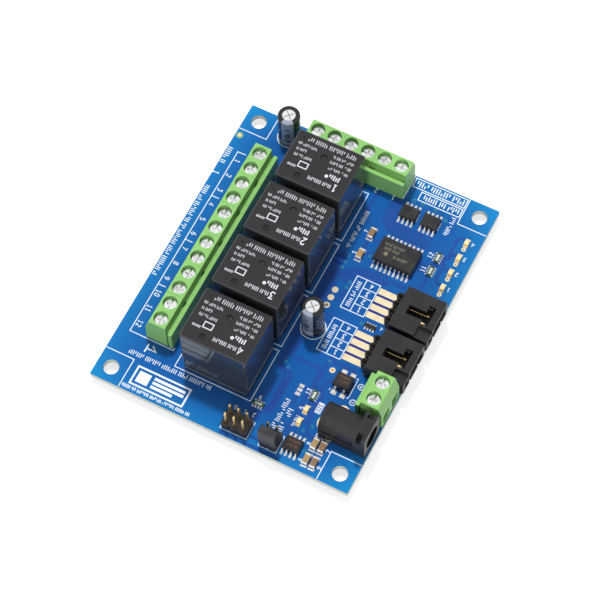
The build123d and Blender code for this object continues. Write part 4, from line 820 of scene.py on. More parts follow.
def finished_piece(name, mesh, material):
    """Turns a mesh drawn in millimetres into a piece that rides on the board."""
    bmesh.ops.scale(mesh, vec=(MM, MM, MM), verts=mesh.verts)
    made = placed_mesh(name, mesh, material)
    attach(made, "board")
    return made


def placed_mesh(name, mesh, material):
    data = bpy.data.meshes.new(name)
    mesh.to_mesh(data)
    mesh.free()
    data.materials.append(finish(material))
    made = bpy.data.objects.new(name, data)
    bpy.context.scene.collection.objects.link(made)
    return made


def round_edges(piece, width, angle):
    """Rounds the sharp edges of a piece, which leaves its own mesh as it is."""
    piece.modifiers.new("Weld", "WELD").merge_threshold = 2e-6
    flat = piece.modifiers.new("Flat", "DECIMATE")
    flat.decimate_type = "DISSOLVE"
    flat.angle_limit = math.radians(0.4)
    soft = piece.modifiers.new("Edges", "BEVEL")
    soft.width = width
    soft.segments = 2
    soft.limit_method = "ANGLE"
    soft.angle_limit = math.radians(angle)
    soft.harden_normals = True
    soft.use_clamp_overlap = True


def dress(node, material, edge=0.0, angle=30):
    """Gives a CAD node its finish, and rounds its edges by a modifier."""
    piece = NODES[node]
    piece.data.materials.clear()
    piece.data.materials.append(finish(material))
    if edge:
        round_edges(piece, edge, angle)


# Operators

class RELAYBOARD_OT_board(bpy.types.Operator):
    """Finishes the bare board: glossy mask, cut laminate edges and drilled walls"""
    bl_idname = "relayboard.board"
    bl_label = "Board and pads"

    def execute(self, context):
        dress("circuit_board", "board_mask", edge=0.06 * MM, angle=60)
        dress("exposed_pads", "gold_plate")
        return {"FINISHED"}


def chip_pins(chip, ways):
    """The x of each lead in one of a chip's two rows."""
    centre = middle(chip)
    return [centre.x + (i - (ways - 1) / 2) * LEAD_PITCH for i in range(ways)]


def top_tracks():
    """The signal tracks that show beside the parts, as lists of corners."""
    pins = chip_pins("expander_chip", 9)
    second = chip_pins("small_chip_2", 4)
    tracks = []
    # From the input terminal round to the chip's upper row
    for k in range(5):
        x, y, pin = 10.6 + 0.62 * k, 27.7 + 0.62 * k, pins[k + 1]
        run = 2.6 - 0.26 * k
        tracks.append([(x, 38), (x, y + run), (x + run, y), (pin - 0.8, y), (pin, y - 0.8), (pin, 26.6)])
    for start, pin in ((second[0], pins[6]), (second[1], pins[7]), (second[3], pins[8])):
        tracks.append([(start, 31.4), (start, 30.6), (pin, 29.5), (pin, 26.6)])
    # From the chip's lower row to the bundle beside the relays
    ends = [(4.95, -21.3), (5.6, -20.3), (6.2, -19.1), (6.85, -16.7)]
    for k, (x, low) in enumerate(ends):
        y, bend, turn = 13.85 - 0.62 * k, 10.5 - 0.58 * k, 11.33 + 0.23 * k
        pin = pins[k + 2]
        start = [(pin, 15.2), (pin, y + 0.5), (pin - 0.5, y)]
        if k == 3:
            start = [(25.2, 13.7), (21.1, 13.7), (19.5, y)]
        end = [(x + 0.8, bend), (x, bend - 0.8), (x, low)]
        tracks.append([*start, (turn, y), (turn - (y - bend), bend), *end])
    tracks += [
        [(4.95, -21.2), (5.8, -22.1), (9.1, -22.1), (10.0, -23.0), (10.0, -34.0), (8.6, -35.4), (7.7, -35.4)],
        [(5.6, -20.2), (6.5, -21.1), (8.0, -21.1)],
        [(6.2, -19.0), (6.7, -19.8)],
        [(6.85, -16.6), (8.0, -17.75), (15.4, -17.75), (16.1, -18.5), (16.1, -38.2)],
        [(7.6, -23.2), (8.45, -24.1), (8.45, -33.4), (7.9, -34.2)],
        [(8.7, -23.2), (9.22, -24.0), (9.22, -33.7), (8.3, -34.8), (7.7, -34.8)],
        [(7.3, 11.9), (5.0, 11.9), (4.35, 11.2), (4.35, -14.0)],
        [(7.4, 13.7), (4.0, 13.7)],
        [(7.4, 15.7), (4.0, 15.7)],
        [(11.1, 8.7), (8.2, 8.7), (7.5, 8.0), (7.5, -15.6)],
        [(11.1, 6.8), (11.1, 3.1), (10.4, 2.38), (8.7, 2.38)],
        [(11.9, 11.9), (11.3, 11.3), (11.3, 9.3)],
        [(7.8, -2.45), (12.2, -2.45)],
        [(9.9, -4.2), (12.2, -4.2)],
        [(17.0, -13.1), (18.2, -14.4), (24.2, -14.4)],
        [(16.9, -14.7), (16.9, -23.8)],
        [(20.6, -19.1), (18.95, -20.8), (18.95, -23.8)],
        [(19.2, -23.9), (20.0, -24.7), (20.0, -33.0), (20.7, -33.9), (21.2, -33.9)],
        [(19.35, -26.9), (19.35, -33.0), (18.8, -33.6)],
        [(19.8, -35.6), (20.8, -35.2), (21.9, -36.3), (23.4, -36.3)],
        [(14.5, -24.6), (16.6, -24.6)],
        [(13.7, -26.6), (13.7, -29.4)],
        [(17.5, -27.1), (17.5, -28.9)],
        [(18.2, -27.1), (18.2, -28.9)],
        [(6.6, -24.0), (6.6, -30.4), (5.7, -31.3), (4.1, -31.3)],
        [(8.2, -43.2), (11.2, -43.2)],
        [(0.3, -45.6), (18.0, -45.6)],
        [(11.0, 23.2), (13.2, 23.2)],
        [(9.9, 22.4), (9.9, 19.4)],
        [(11.0, 18.9), (12.0, 18.9), (12.5, 18.4)],
        [(5.5, 37.2), (5.5, 29.5)],
        [(29.05, 19.4), (29.05, 14.9)],
        [(28.3, 24.1), (28.9, 23.2)],
        [(30.0, 24.1), (29.4, 23.2)],
    ]
    for k in range(3):
        tracks.append([(25.3, 20.2 + 1.1 * k), (27.6, 20.2 + 1.1 * k)])
    # From the resistor array out to the lights
    tracks += [
        [(33.4, 34.2), (32.4, 34.2), (31.5, 33.3), (31.5, 27.5), (30.5, 26.5)],
        [(33.4, 29.0), (32.8, 29.0), (32.1, 28.3), (32.1, 27.2), (30.9, 26.0), (30.4, 26.0)],
        [(33.4, 23.7), (32.6, 23.7), (31.1, 25.2), (30.4, 25.2)],
        [(33.4, 18.9), (32.4, 18.9), (31.5, 19.8), (31.5, 23.4), (30.5, 24.4)],
    ]
    for k in range(4):
        x = 5.1 + 0.74 * k
        tracks.append([(x, -35.7), (x, -38.6)])
    return tracks


def under_tracks():
    """Wide copper under the board, from each relay out to its terminals, and signal tracks."""
    tracks = []
    for cover in RELAY_COVERS:
        centre = middle(cover)
        for side in (-1, 1):
            y = centre.y + side * 4.6
            tracks.append([(1.1, y), (-12.0, y), (-15.0, y + side * 1.6), (-27.5, y + side * 1.6)])
    for k in range(6):
        x, y = 14.0 + 0.9 * k, -39.5 + 0.9 * k
        tracks.append([(x, 36.0), (x, y + 2.0), (x - 2.0, y), (-14.0 + 3 * k, y)])
    return tracks


class RELAYBOARD_OT_tracks(bpy.types.Operator):
    """Lays the tracks under the mask, with the bare strips beside them, and the via rings"""
    bl_idname = "relayboard.tracks"
    bl_label = "Tracks and vias"

    def execute(self, context):
        width, gap = sizes().track_width / MM, sizes().track_gap / MM
        self.top(width, gap)
        self.vias()
        self.pad_marks()
        self.under(width, gap)
        return {"FINISHED"}

    def top(self, width, gap):
        strips, ridges = board_pen(0.004, HAIR), board_pen(0.014, HAIR)
        for track in top_tracks():
            strips.path(track, width + 2 * gap)
            ridges.path(track, width)
        for x, y in TENTED_VIAS:
            strips.disc(x, y, 0.62)
            ridges.disc(x, y, 0.42)
        # Two copper-free windows beside the relays, in a dark navy that is partly the bare mask's tone and
        # partly painted shade for the relays' shadow
        windows = board_pen(0.003)
        for low, high in ((14.15, 15.25), (12.35, 13.2)):
            windows.box(4.1, low, 7.0, high)
        windows.piece("bare_windows", "bare_window")
        # Bare strips behind the pins of each bus connector
        for bus in BUS_HOUSINGS:
            low, high = corners(bus)
            centre = (low.y + high.y) / 2 + 0.35
            for row in (-1, 0, 1):
                y = centre + row * PITCH
                strips.box(low.x - 5.3, y - 0.34, low.x + 0.6, y + 0.34)
        strips.piece("track_gaps", "bare_mask")
        ridges.piece("tracks", "track_mask")

    def vias(self):
        rings = board_pen(0.016)
        # Near-black discs a little below the top in each via: painted shade for the dark of the hole
        wells = Pen(TOP - 0.3, TOP - 0.05)
        for x, y in VIAS:
            rings.ring(x, y, 0.44, VIA_RADIUS + 0.03, 20)
            wells.disc(x, y, VIA_RADIUS - 0.01, 16)
        rings.piece("via_rings", "via_ring")
        wells.piece("via_wells", "via_well")

    def pad_marks(self):
        plugs = Pen(TOP - 0.2, TOP + 0.07)
        for y in TEST_PLUGS:
            plugs.disc(TEST_PAD_X, y, 0.56)
        plugs.piece("test_pad_plugs", "gold_plate", "gold_plate")
        dimple = board_pen(0.06)
        dimple.disc(*PROBE_PAD, 0.3, 16)
        dimple.piece("probe_mark", "probe_mark", "gold_plate")
        halo = board_pen(0.01)
        halo.ring(*FIDUCIAL, 1.0, 0.52, 28)
        halo.piece("fiducial_opening", "bare_laminate")

    def under(self, width, gap):
        foot = BOARD_LOW.z
        tracks, gaps = Pen(foot + SUNK, foot - 0.014, -HAIR), Pen(foot + SUNK, foot - 0.004, -HAIR)
        for track in under_tracks():
            wide = 2.2 if track[0][0] < 2 else width
            tracks.path(track, wide)
            gaps.path(track, wide + 2 * gap)
        tracks.piece("under_tracks", "track_mask")
        gaps.piece("under_track_gaps", "bare_mask")


class RELAYBOARD_OT_print(bpy.types.Operator):
    """Prints the white outlines, numerals and plain marks on the board"""
    bl_idname = "relayboard.print"
    bl_label = "White print"

    def execute(self, context):
        line, thick = sizes().silk_line / MM, sizes().silk_thick / MM
        pen = board_pen(thick, HAIR)
        self.corner_marks(pen, line)
        self.relay_outlines(pen, line)
        self.terminal_marks(pen, line)
        self.bus_labels(pen, line)
        self.part_marks(pen)
        self.plain_lines(pen)
        pen.piece("white_print", "white_print")
        under = Pen(BOARD_LOW.z - thick, BOARD_LOW.z + SUNK, HAIR)
        under.frame(8, 24.5, 30, 33, 0.25)
        for row in range(3):
            under.tally(19, 30.9 - 2.1 * row, 19 - 3 * row, 1.2, 180, 50 + row)
        # Drawn mirrored, so that it reads from below
        under.place = Matrix.Scale(-1, 4, (1, 0, 0))
        under.figures("1234", 20, -41.5, 2.2, 0.3)
        under.piece("under_print", "white_print")
        return {"FINISHED"}

    def corner_marks(self, pen, line):
        edge_x, edge_y = BOARD_HIGH.x - 0.15, BOARD_HIGH.y - 0.15
        for x, y in ((-29.5, 38.1), (29.3, 37.8), (-29.5, -37.5), (29.1, -37.6)):
            side_x, side_y = math.copysign(edge_x, x), math.copysign(edge_y, y)
            pen.path([(x, side_y), (x, y), (side_x, y)], line)

    def relay_outlines(self, pen, line):
        for cover in RELAY_COVERS:
            centre = middle(cover)
            pen.frame(-19.0, centre.y - 8.2, 3.6, centre.y + 8.2, line)

    def terminal_marks(self, pen, line):
        pen.path([(-32.2, 31.1), (-34.7, 31.1), (-34.7, -30.5), (-21.5, -30.5), (-21.5, -29.7)], line)
        for i in (1, 2, 3):
            y = 0.4 + (i - 2) * 3 * WAY_PITCH
            pen.path([(-34.7, y), (-32.4, y)], line)
        for i in range(12):
            y = 0.4 + (5.5 - i) * WAY_PITCH
            pen.figures(str(i + 1), -33.4, y, 1.35, 0.22, -90)
        pen.path([(12.7, 46.1), (12.7, 38.4), (12.0, 38.4)], line)
        for i in range(6):
            x = -2.6 + (2.5 - i) * WAY_PITCH
            pen.figures(str(i + 1), x, 37.2, 1.3, 0.22, 180)
        for y, upright in ((-17.7, True), (-22.7, False)):
            pen.ring(27.8, y, 0.92, 0.68, 20)
            pen.box(27.8 - 0.45, y - 0.1, 27.8 + 0.45, y + 0.1)
            if upright:
                pen.box(27.7, y - 0.45, 27.9, y - 0.11)
                pen.box(27.7, y + 0.11, 27.9, y + 0.45)
        pen.box(-28.4, -34.3, -28.0, -31.7)
        pen.path([(-28.2, -33.1), (-25.4, -33.1), (-26.9, -31.8)], 0.38)

    def bus_labels(self, pen, line):
        for top, low in ((11.4, 1.0), (-2.6, -13.0)):
            pen.frame(12.2, low, 19.1, top, line)
            pen.path([(15.1, low), (15.1, top)], line)
            cell = (top - low) / 4
            for i in range(4):
                if i:
                    pen.path([(15.1, low + i * cell), (19.1, low + i * cell)], line)
                pen.figures(str(i + 1), 17.1, low + (i + 0.5) * cell, 1.35, 0.24, 180)
            pen.tally(13.65, (top + low) / 2, 8.2, 1.3, 90, int(top * 10), 0.42)

    def part_marks(self, pen):
        thin = 0.2
        # Headers, jack, rectifier and connectors
        pen.frame(0.0, -44.55, 7.7, -39.4, thin)
        pen.frame(11.2, -44.55, 16.35, -39.4, thin)
        for points in (
            [(23.5, -34.6), (23.5, -35.55), (26.0, -35.55)],
            [(20.6, -22.2), (20.6, -21.6)],
            [(25.6, -16.0), (26.15, -16.0), (26.15, -22.2), (25.6, -22.2)],
            [(26.6, -13.6), (26.6, -14.1), (29.0, -14.1)],
            # Pin one bars beside the small chips
            [(18.95, 35.9), (18.95, 33.3)],
            [(25.35, 35.9), (25.35, 33.3)],
        ):
            pen.path(points, thin)
        # Rings round the capacitors
        for sleeve in SLEEVES:
            centre = middle(sleeve)
            pen.ring(centre.x, centre.y, 3.55, 3.3, 48)
        # Numerals beside the parts
        for i, (x, y) in enumerate(LIGHTS[:4]):
            pen.figures(str(4 - i), x + 1.65, y + 0.3, 1.1, thin, 180)
        for text, x, y, turn in (
            ("7", 8.3, 24.6, 90), ("3", 8.3, 17.3, 90), ("12", 27.0, 25.8, 90), ("11", 27.0, 21.2, 90),
            ("0", 1.0, -37.6, 180), ("1", 3.8, -37.7, 180), ("2", 6.3, -37.5, 180), ("9", 5.5, -32.2, 180),
            ("13", 16.0, -25.0, 90), ("5", 16.6, -30.0, 90), ("8", 22.9, -38.2, 90), ("6", 22.9, -43.3, 90),
            ("7", 28.4, -38.0, 90), ("9", 28.4, -43.2, 90), ("4", 25.0, -0.1, 180),
        ):
            pen.figures(text, x, y, 1.1, thin, turn)

    def plain_lines(self, pen):
        """Lines of print kept as plain marks, and the blank write-on field."""
        pen.frame(13.3, 42.95, 28.85, 45.75, 0.26)
        pen.tally(21.1, 44.35, 14.2, 1.7, 180, 3, 0.45)
        pen.frame(16.45, 39.7, 28.8, 42.35, 0.26)
        pen.tally(22.6, 41.05, 11.0, 1.6, 180, 4, 0.45)
        pen.figures("1", -37.1, 22.6, 1.7, 0.26, -90)
        for x, y, length, height, turn, seed in (
            (27.8, 36.3, 6.2, 1.3, 90, 5), (5.9, 24.2, 12.4, 1.3, 90, 6), (-37.1, 28.7, 5.6, 1.5, -90, 7),
            (-37.1, 2.5, 31.0, 1.4, -90, 8), (-19.6, -35.8, 24.6, 1.3, 0, 9), (12.3, -33.9, 9.2, 1.4, 90, 10),
            (14.25, -32.5, 2.6, 1.5, 90, 11), (16.6, -34.0, 3.4, 0.8, 90, 12),
            (14.25, -37.0, 3.4, 1.5, 90, 14),
        ):
            pen.tally(x, y, length, height, turn, seed)
        # A small frame with four bars
        pen.frame(20.1, -29.5, 21.5, -26.5, 0.22)
        for i in range(4):
            pen.box(20.35, -29.25 + 0.72 * i, 21.25, -28.8 + 0.72 * i)
        # A blank label: a square for a tick and three ruled bars
        pen.frame(-27.4, -43.9, -11.8, -38.6, 0.5)
        pen.box(-26.4, -42.9, -22.9, -39.6)
        for i, length in enumerate((9.2, 9.2, 6.4)):
            pen.box(-21.9, -40.4 - 1.25 * i, -21.9 + length, -39.6 - 1.25 * i)
        pen.tally(-18.8, -45.1, 20.4, 1.0, 0, 13, 0.55)


class RELAYBOARD_OT_terminals(bpy.types.Operator):
    """Finishes the screw terminals: green housings, plated screws, cages and tongues"""
    bl_idname = "relayboard.terminals"
    bl_label = "Screw terminals"

    def execute(self, context):
        for node in TERMINALS:
            dress(node, "terminal_green", edge=sizes().plastic_edge * 0.8)
        dress("terminal_screws", "screw_plate", edge=sizes().metal_edge * 1.6)
        dress("terminal_cages", "nickel_plate")
        dress("terminal_tongues", "tin_plate")
        return {"FINISHED"}


class RELAYBOARD_OT_relays(bpy.types.Operator):
    """Finishes the relays: satin tops, glossy sides, printed marks and the works inside"""
    bl_idname = "relayboard.relays"
    bl_label = "Relays"

    def execute(self, context):
        for number in range(1, 5):
            dress(f"relay_cover_{number}", "relay_black", edge=sizes().plastic_edge)
            dress(f"relay_base_{number}", "relay_black")
            dress(f"relay_armature_{number}", "relay_iron")
            self.mark(number)
        for node, material in (
            ("relay_yokes", "relay_iron"), ("relay_cores", "relay_iron"), ("relay_bobbins", "bobbin_plastic"),
            ("relay_windings", "copper_wire"), ("relay_fixed_contacts", "contact_brass"),
            ("relay_coil_pins", "tin_plate"),
        ):
            dress(node, material)
        return {"FINISHED"}

    def mark(self, number):
        """Rows of plain marks where such a relay carries its ratings, and the relay's number."""
        low, high = corners(f"relay_cover_{number}")
        centre = (low + high) / 2
        x, y = centre.x, centre.y
        pen = Pen(high.z - 0.01, high.z + 0.015, HAIR)
        pen.tally(x + 0.7, y + 5.75, 14.2, 1.35, 180, 20, 0.34)
        for row, (height, left) in enumerate(((3.65, 5.6), (1.95, 3.2), (0.1, 5.6))):
            for across, length, seed in ((left / 2 - 8.3, left, 21), (3.8, 3.8, 31), (7.15, 1.9, 41)):
                pen.tally(x + across, y + height, length, 0.9, 180, seed + row)
        pen.frame(x - 5.2, y - 3.0, x - 2.7, y - 1.3, 0.3)
        pen.tally(x - 6.9, y - 3.3, 2.4, 0.7, 180, 24, 0.5)
        pen.tally(x + 5.3, y - 2.1, 3.0, 1.5, 180, 25, 0.55)
        pen.disc(x + 3.1, y - 2.4, 0.5, 20)
        pen.tally(x + 2.0, y - 4.85, 7.0, 1.15, 180, 26, 0.42)
        pen.figures(str(number), x + 6.6, y - 4.8, 2.0, 0.36, 180)
        pen.piece(f"relay_print_{number}", "relay_print", "relay_black")
        gate = Pen(high.z - 0.4, high.z - 0.37)
        gate.ring(x, y + 2.3, 0.4, 0.2, 20)
        gate.piece(f"relay_gate_{number}", "gate_scar", "relay_black")


def bent_strip(profile, x, y, first, last, steps=14):
    """A thin skin round part of a can: profile is (radius, height) from the foot up."""
    mesh = bmesh.new()
    pairs = []
    for i, (r, z) in enumerate(profile):
        before, after = profile[max(i - 1, 0)], profile[min(i + 1, len(profile) - 1)]
        run = (Vector(after) - Vector(before)).normalized() * SKIN
        pairs.append(((r, z), (r - run.y, z + run.x)))
    rows = []
    for i in range(steps + 1):
        a = first + (last - first) * i / steps
        rows.append([
            tuple(mesh.verts.new((x + r * math.cos(a), y + r * math.sin(a), z)) for r, z in pair)
            for pair in pairs
        ])
    for here, there in zip(rows, rows[1:]):
        for (a, a_in), (b, b_in), (c, c_in), (d, d_in) in zip(here, here[1:], there[1:], there):
            mesh.faces.new((a, d, c, b))
            mesh.faces.new((a_in, b_in, c_in, d_in))
        for (a, a_in), (d, d_in) in ((here[0], there[0]), (there[-1], here[-1])):
            mesh.faces.new((a, a_in, d_in, d))
    for row, turn in ((rows[0], 1), (rows[-1], -1)):
        for (a, a_in), (b, b_in) in zip(row, row[1:]):
            mesh.faces.new((a, b, b_in, a_in)[::turn])
    for face in mesh.faces:
        face.smooth = True
    return mesh


def curved_ring(mesh, centre, radii, turn, reach, inner):
    """A closed oval ring lying on a can's side; reach is its half width as an angle and its half height."""
    x, y, z = centre
    count = 20
    loops = []
    for radius, share in ((radii[1], 1.0), (radii[1], inner), (radii[0], inner), (radii[0], 1.0)):
        # The ring is as wide above and below as it is at its sides
        tall = reach[1] - reach[0] * SLEEVE_RADIUS * (1 - share)
        loop = []
        for k in range(count):
            a = 2 * math.pi * k / count
            at = turn + reach[0] * share * math.cos(a)
            spot = (x + radius * math.cos(at), y + radius * math.sin(at), z + tall * math.sin(a))
            loop.append(mesh.verts.new(spot))
        loops.append(loop)
    for near, far in zip(loops, loops[1:] + loops[:1]):
        for k in range(count):
            j = (k + 1) % count
            mesh.faces.new((near[k], far[k], far[j], near[j]))
    bmesh.ops.recalc_face_normals(mesh, faces=mesh.faces)


class RELAYBOARD_OT_capacitors(bpy.types.Operator):
    """Finishes the two electrolytic capacitors: sleeve, pale stripe with its marks, scored top"""
    bl_idname = "relayboard.capacitors"
    bl_label = "Capacitors"

    def execute(self, context):
        for number, sleeve in enumerate(SLEEVES, 1):
            dress(sleeve, "sleeve_black")
            dress(f"capacitor_can_{number}", f"scored_aluminium_{number}", edge=0.03 * MM)
            self.stripe(number, sleeve)
        dress("capacitor_leads", "tin_plate")
        return {"FINISHED"}

    def stripe(self, number, sleeve):
        low, high = corners(sleeve)
        x, y = (low.x + high.x) / 2, (low.y + high.y) / 2
        radius = (high.x - low.x) / 2 + 0.004
        skin = radius + 0.01
        # Up the side, in and out over the bead, and round the shoulder to the lip on the top
        profile = [(skin, low.z + 0.1)]
        for inward, rise in ((0, -0.45), (0.27, -0.2), (0.34, 0), (0.27, 0.2), (0, 0.45)):
            profile.append((skin - inward, low.z + BEAD_HEIGHT + rise))
        over = high.z + 0.014
        for i in range(7):
            a = math.pi / 2 * i / 6
            profile.append((skin - SHOULDER * (1 - math.cos(a)), over - SHOULDER * (1 - math.sin(a))))
        profile.append((SLEEVE_LIP + 0.03, over))
        centre, half = math.radians(STRIPE_TURNS[number - 1]), math.radians(34)
        band = bent_strip(profile, x, y, centre - half, centre + half)
        finished_piece(f"capacitor_stripe_{number}", band, "sleeve_stripe")
        ink = (radius - 0.02, radius + 0.03)
        marks = bmesh.new()
        for height, reach in ((2.9, (0.2, 0.3)), (5.5, (0.22, 1.1)), (8.6, (0.24, 0.3))):
            curved_ring(marks, (x, y, low.z + height), ink, centre, reach, 0.35)
        finished_piece(f"capacitor_marks_{number}", marks, "stripe_ink")
        ratings = bmesh.new()
        for row in range(3):
            for k in range(6 - row):
                turn = centre + half + 0.35 + 0.14 * k
                reach = (0.035, 0.5 - 0.12 * (k % 2))
                curved_ring(ratings, (x, y, low.z + 4.6 + 2.0 * row), ink, turn, reach, 0.2)
        finished_piece(f"capacitor_ratings_{number}", ratings, "rating_ink")


class RELAYBOARD_OT_connectors(bpy.types.Operator):
    """Finishes the power jack, the bus connectors, the headers and the jumper shunt"""
    bl_idname = "relayboard.connectors"
    bl_label = "Connectors"

    def execute(self, context):
        edge = sizes().plastic_edge
        for node, material, width in (
            ("jack_housing", "jack_plastic", edge), ("jack_center_pin", "nickel_plate", 0.05 * MM),
            ("jack_contacts", "nickel_plate", 0), ("bus_connector_1", "black_plastic", edge),
            ("bus_connector_2", "black_plastic", edge), ("bus_pins", "bus_pin_gold", 0.12 * MM),
            ("address_header", "header_plastic", edge * 0.5), ("pullup_header", "header_plastic", edge * 0.5),
            ("header_pins", "pin_gold", 0.03 * MM), ("jumper_shunt", "shunt_plastic", edge * 0.6),
            ("jumper_clip", "contact_brass", 0),
        ):
            dress(node, material, width)
        self.darken_bore()
        return {"FINISHED"}

    def darken_bore(self):
        """Painted shade in the bore: near black inside, with little shine, told by the distance from its
        axis.
        """
        made = finish("jack_plastic")
        tree = made.node_tree
        low, high = corners("jack_housing")
        axis = (0, (low.y + high.y) / 2 * MM, (low.z + BORE_HEIGHT) * MM)
        away = add_node(tree, "VectorMath", {0: object_place(tree), 1: axis}, operation="SUBTRACT").outputs[0]
        flat = add_node(tree, "VectorMath", {0: away, 1: (0, 1, 1)}, operation="MULTIPLY").outputs[0]
        far = add_node(tree, "VectorMath", {0: flat}, operation="LENGTH").outputs["Value"]
        outside = ramp(tree, far, BORE_RADIUS * MM, (BORE_RADIUS + 0.04) * MM)
        # Painted shade: near black inside the bore
        repaint(made, outside, srgb(5, 5, 6))
        shine = ramp(tree, outside, 0.0, 1.0, 0.05, 0.5)
        feed(tree, tree.nodes["Principled BSDF"], {"Specular IOR Level": shine})


class RELAYBOARD_OT_chips(bpy.types.Operator):
    """Finishes the chips and the rectifier, with plain marks on their tops"""
    bl_idname = "relayboard.chips"
    bl_label = "Chips"

    def execute(self, context):
        for node in ("expander_chip", *SMALL_CHIPS, "bridge_rectifier"):
            dress(node, "chip_body", edge=0.08 * MM)
        dress("chip_leads", "tin_plate", edge=0.02 * MM)
        pen, x, y = top_pen("expander_chip")
        pen.tally(x - 1.6, y + 1.7, 5.6, 0.95, 180, 61, 0.45)
        pen.tally(x - 2.0, y + 0.4, 4.6, 0.95, 180, 62, 0.45)
        pen.tally(x + 1.2, y - 1.2, 4.4, 0.9, 180, 63, 0.45)
        pen.disc(x - 2.9, y - 1.2, 0.6, 20)
        pen.piece("expander_print", "chip_print", "chip_body")
        for node in ("small_chip_3", "bridge_rectifier"):
            pen, x, y = top_pen(node)
            for row in range(2):
                pen.tally(x, y + 0.75 - 1.3 * row, 3.2, 0.85, 180, 64 + row, 0.45)
            pen.piece(f"{node}_print", "chip_print_warm", "chip_body")
        return {"FINISHED"}


def soft_block(mesh, place, low, high, radius, segments=2):
    """A block with rounded edges, between two corners of its own turned frame."""
    made = bmesh.ops.create_cube(mesh, size=1.0)
    centre = (Vector(low) + Vector(high)) / 2
    span = Vector(high) - Vector(low)
    for vertex in made["verts"]:
        vertex.co = place @ (centre + Vector([c * s for c, s in zip(vertex.co, span)]))
    edges = {edge for vertex in made["verts"] for edge in vertex.link_edges}
    bmesh.ops.bevel(mesh, geom=list(edges), offset=radius, segments=segments, profile=0.5, affect="EDGES")


def end_block(mesh, place, across, half, side, reach, tall, radius, segments=2):
    """A plated end, between two distances from a part's middle on one side of it."""
    near, far = sorted(side * distance for distance in reach)
    low, high = (across - half, near, SEAT + 0.01), (across + half, far, SEAT + tall)
    soft_block(mesh, place, low, high, radius, segments)


def turned_place(x, y, degrees=0.0):
    return Matrix.Translation((x, y, 0)) @ Matrix.Rotation(math.radians(degrees), 4, "Z")


def solder_wedge(mesh, place, x, y, width, out, height, side):
    """A concave fillet of solder between a pad and the end of a part."""

    def pair(away, up):
        return [
            mesh.verts.new(place @ Vector((x + across * width / 2, y + side * away, SEAT + up)))
            for across in (-1, 1)
        ]

    curve = ((0.0, height), (0.12 * out, 0.55 * height), (0.4 * out, 0.2 * height), (out, 0.02))
    rows = [pair(*point) for point in curve]
    foot, foot_out = pair(0, 0), pair(out, 0)
    for (a, b), (c, d) in zip(rows, rows[1:]):
        mesh.faces.new((a, b, d, c))
    mesh.faces.new((rows[-1][0], rows[-1][1], foot_out[1], foot_out[0]))
    mesh.faces.new((foot[0], foot[1], foot_out[1], foot_out[0]))
    for i in (0, 1):
        mesh.faces.new([row[i] for row in rows] + [foot_out[i], foot[i]])
    mesh.faces.new((foot[0], foot[1], rows[0][1], rows[0][0]))


def solder_piece(name, mesh):
    bmesh.ops.recalc_face_normals(mesh, faces=mesh.faces)
    finished_piece(name, mesh, "solder")


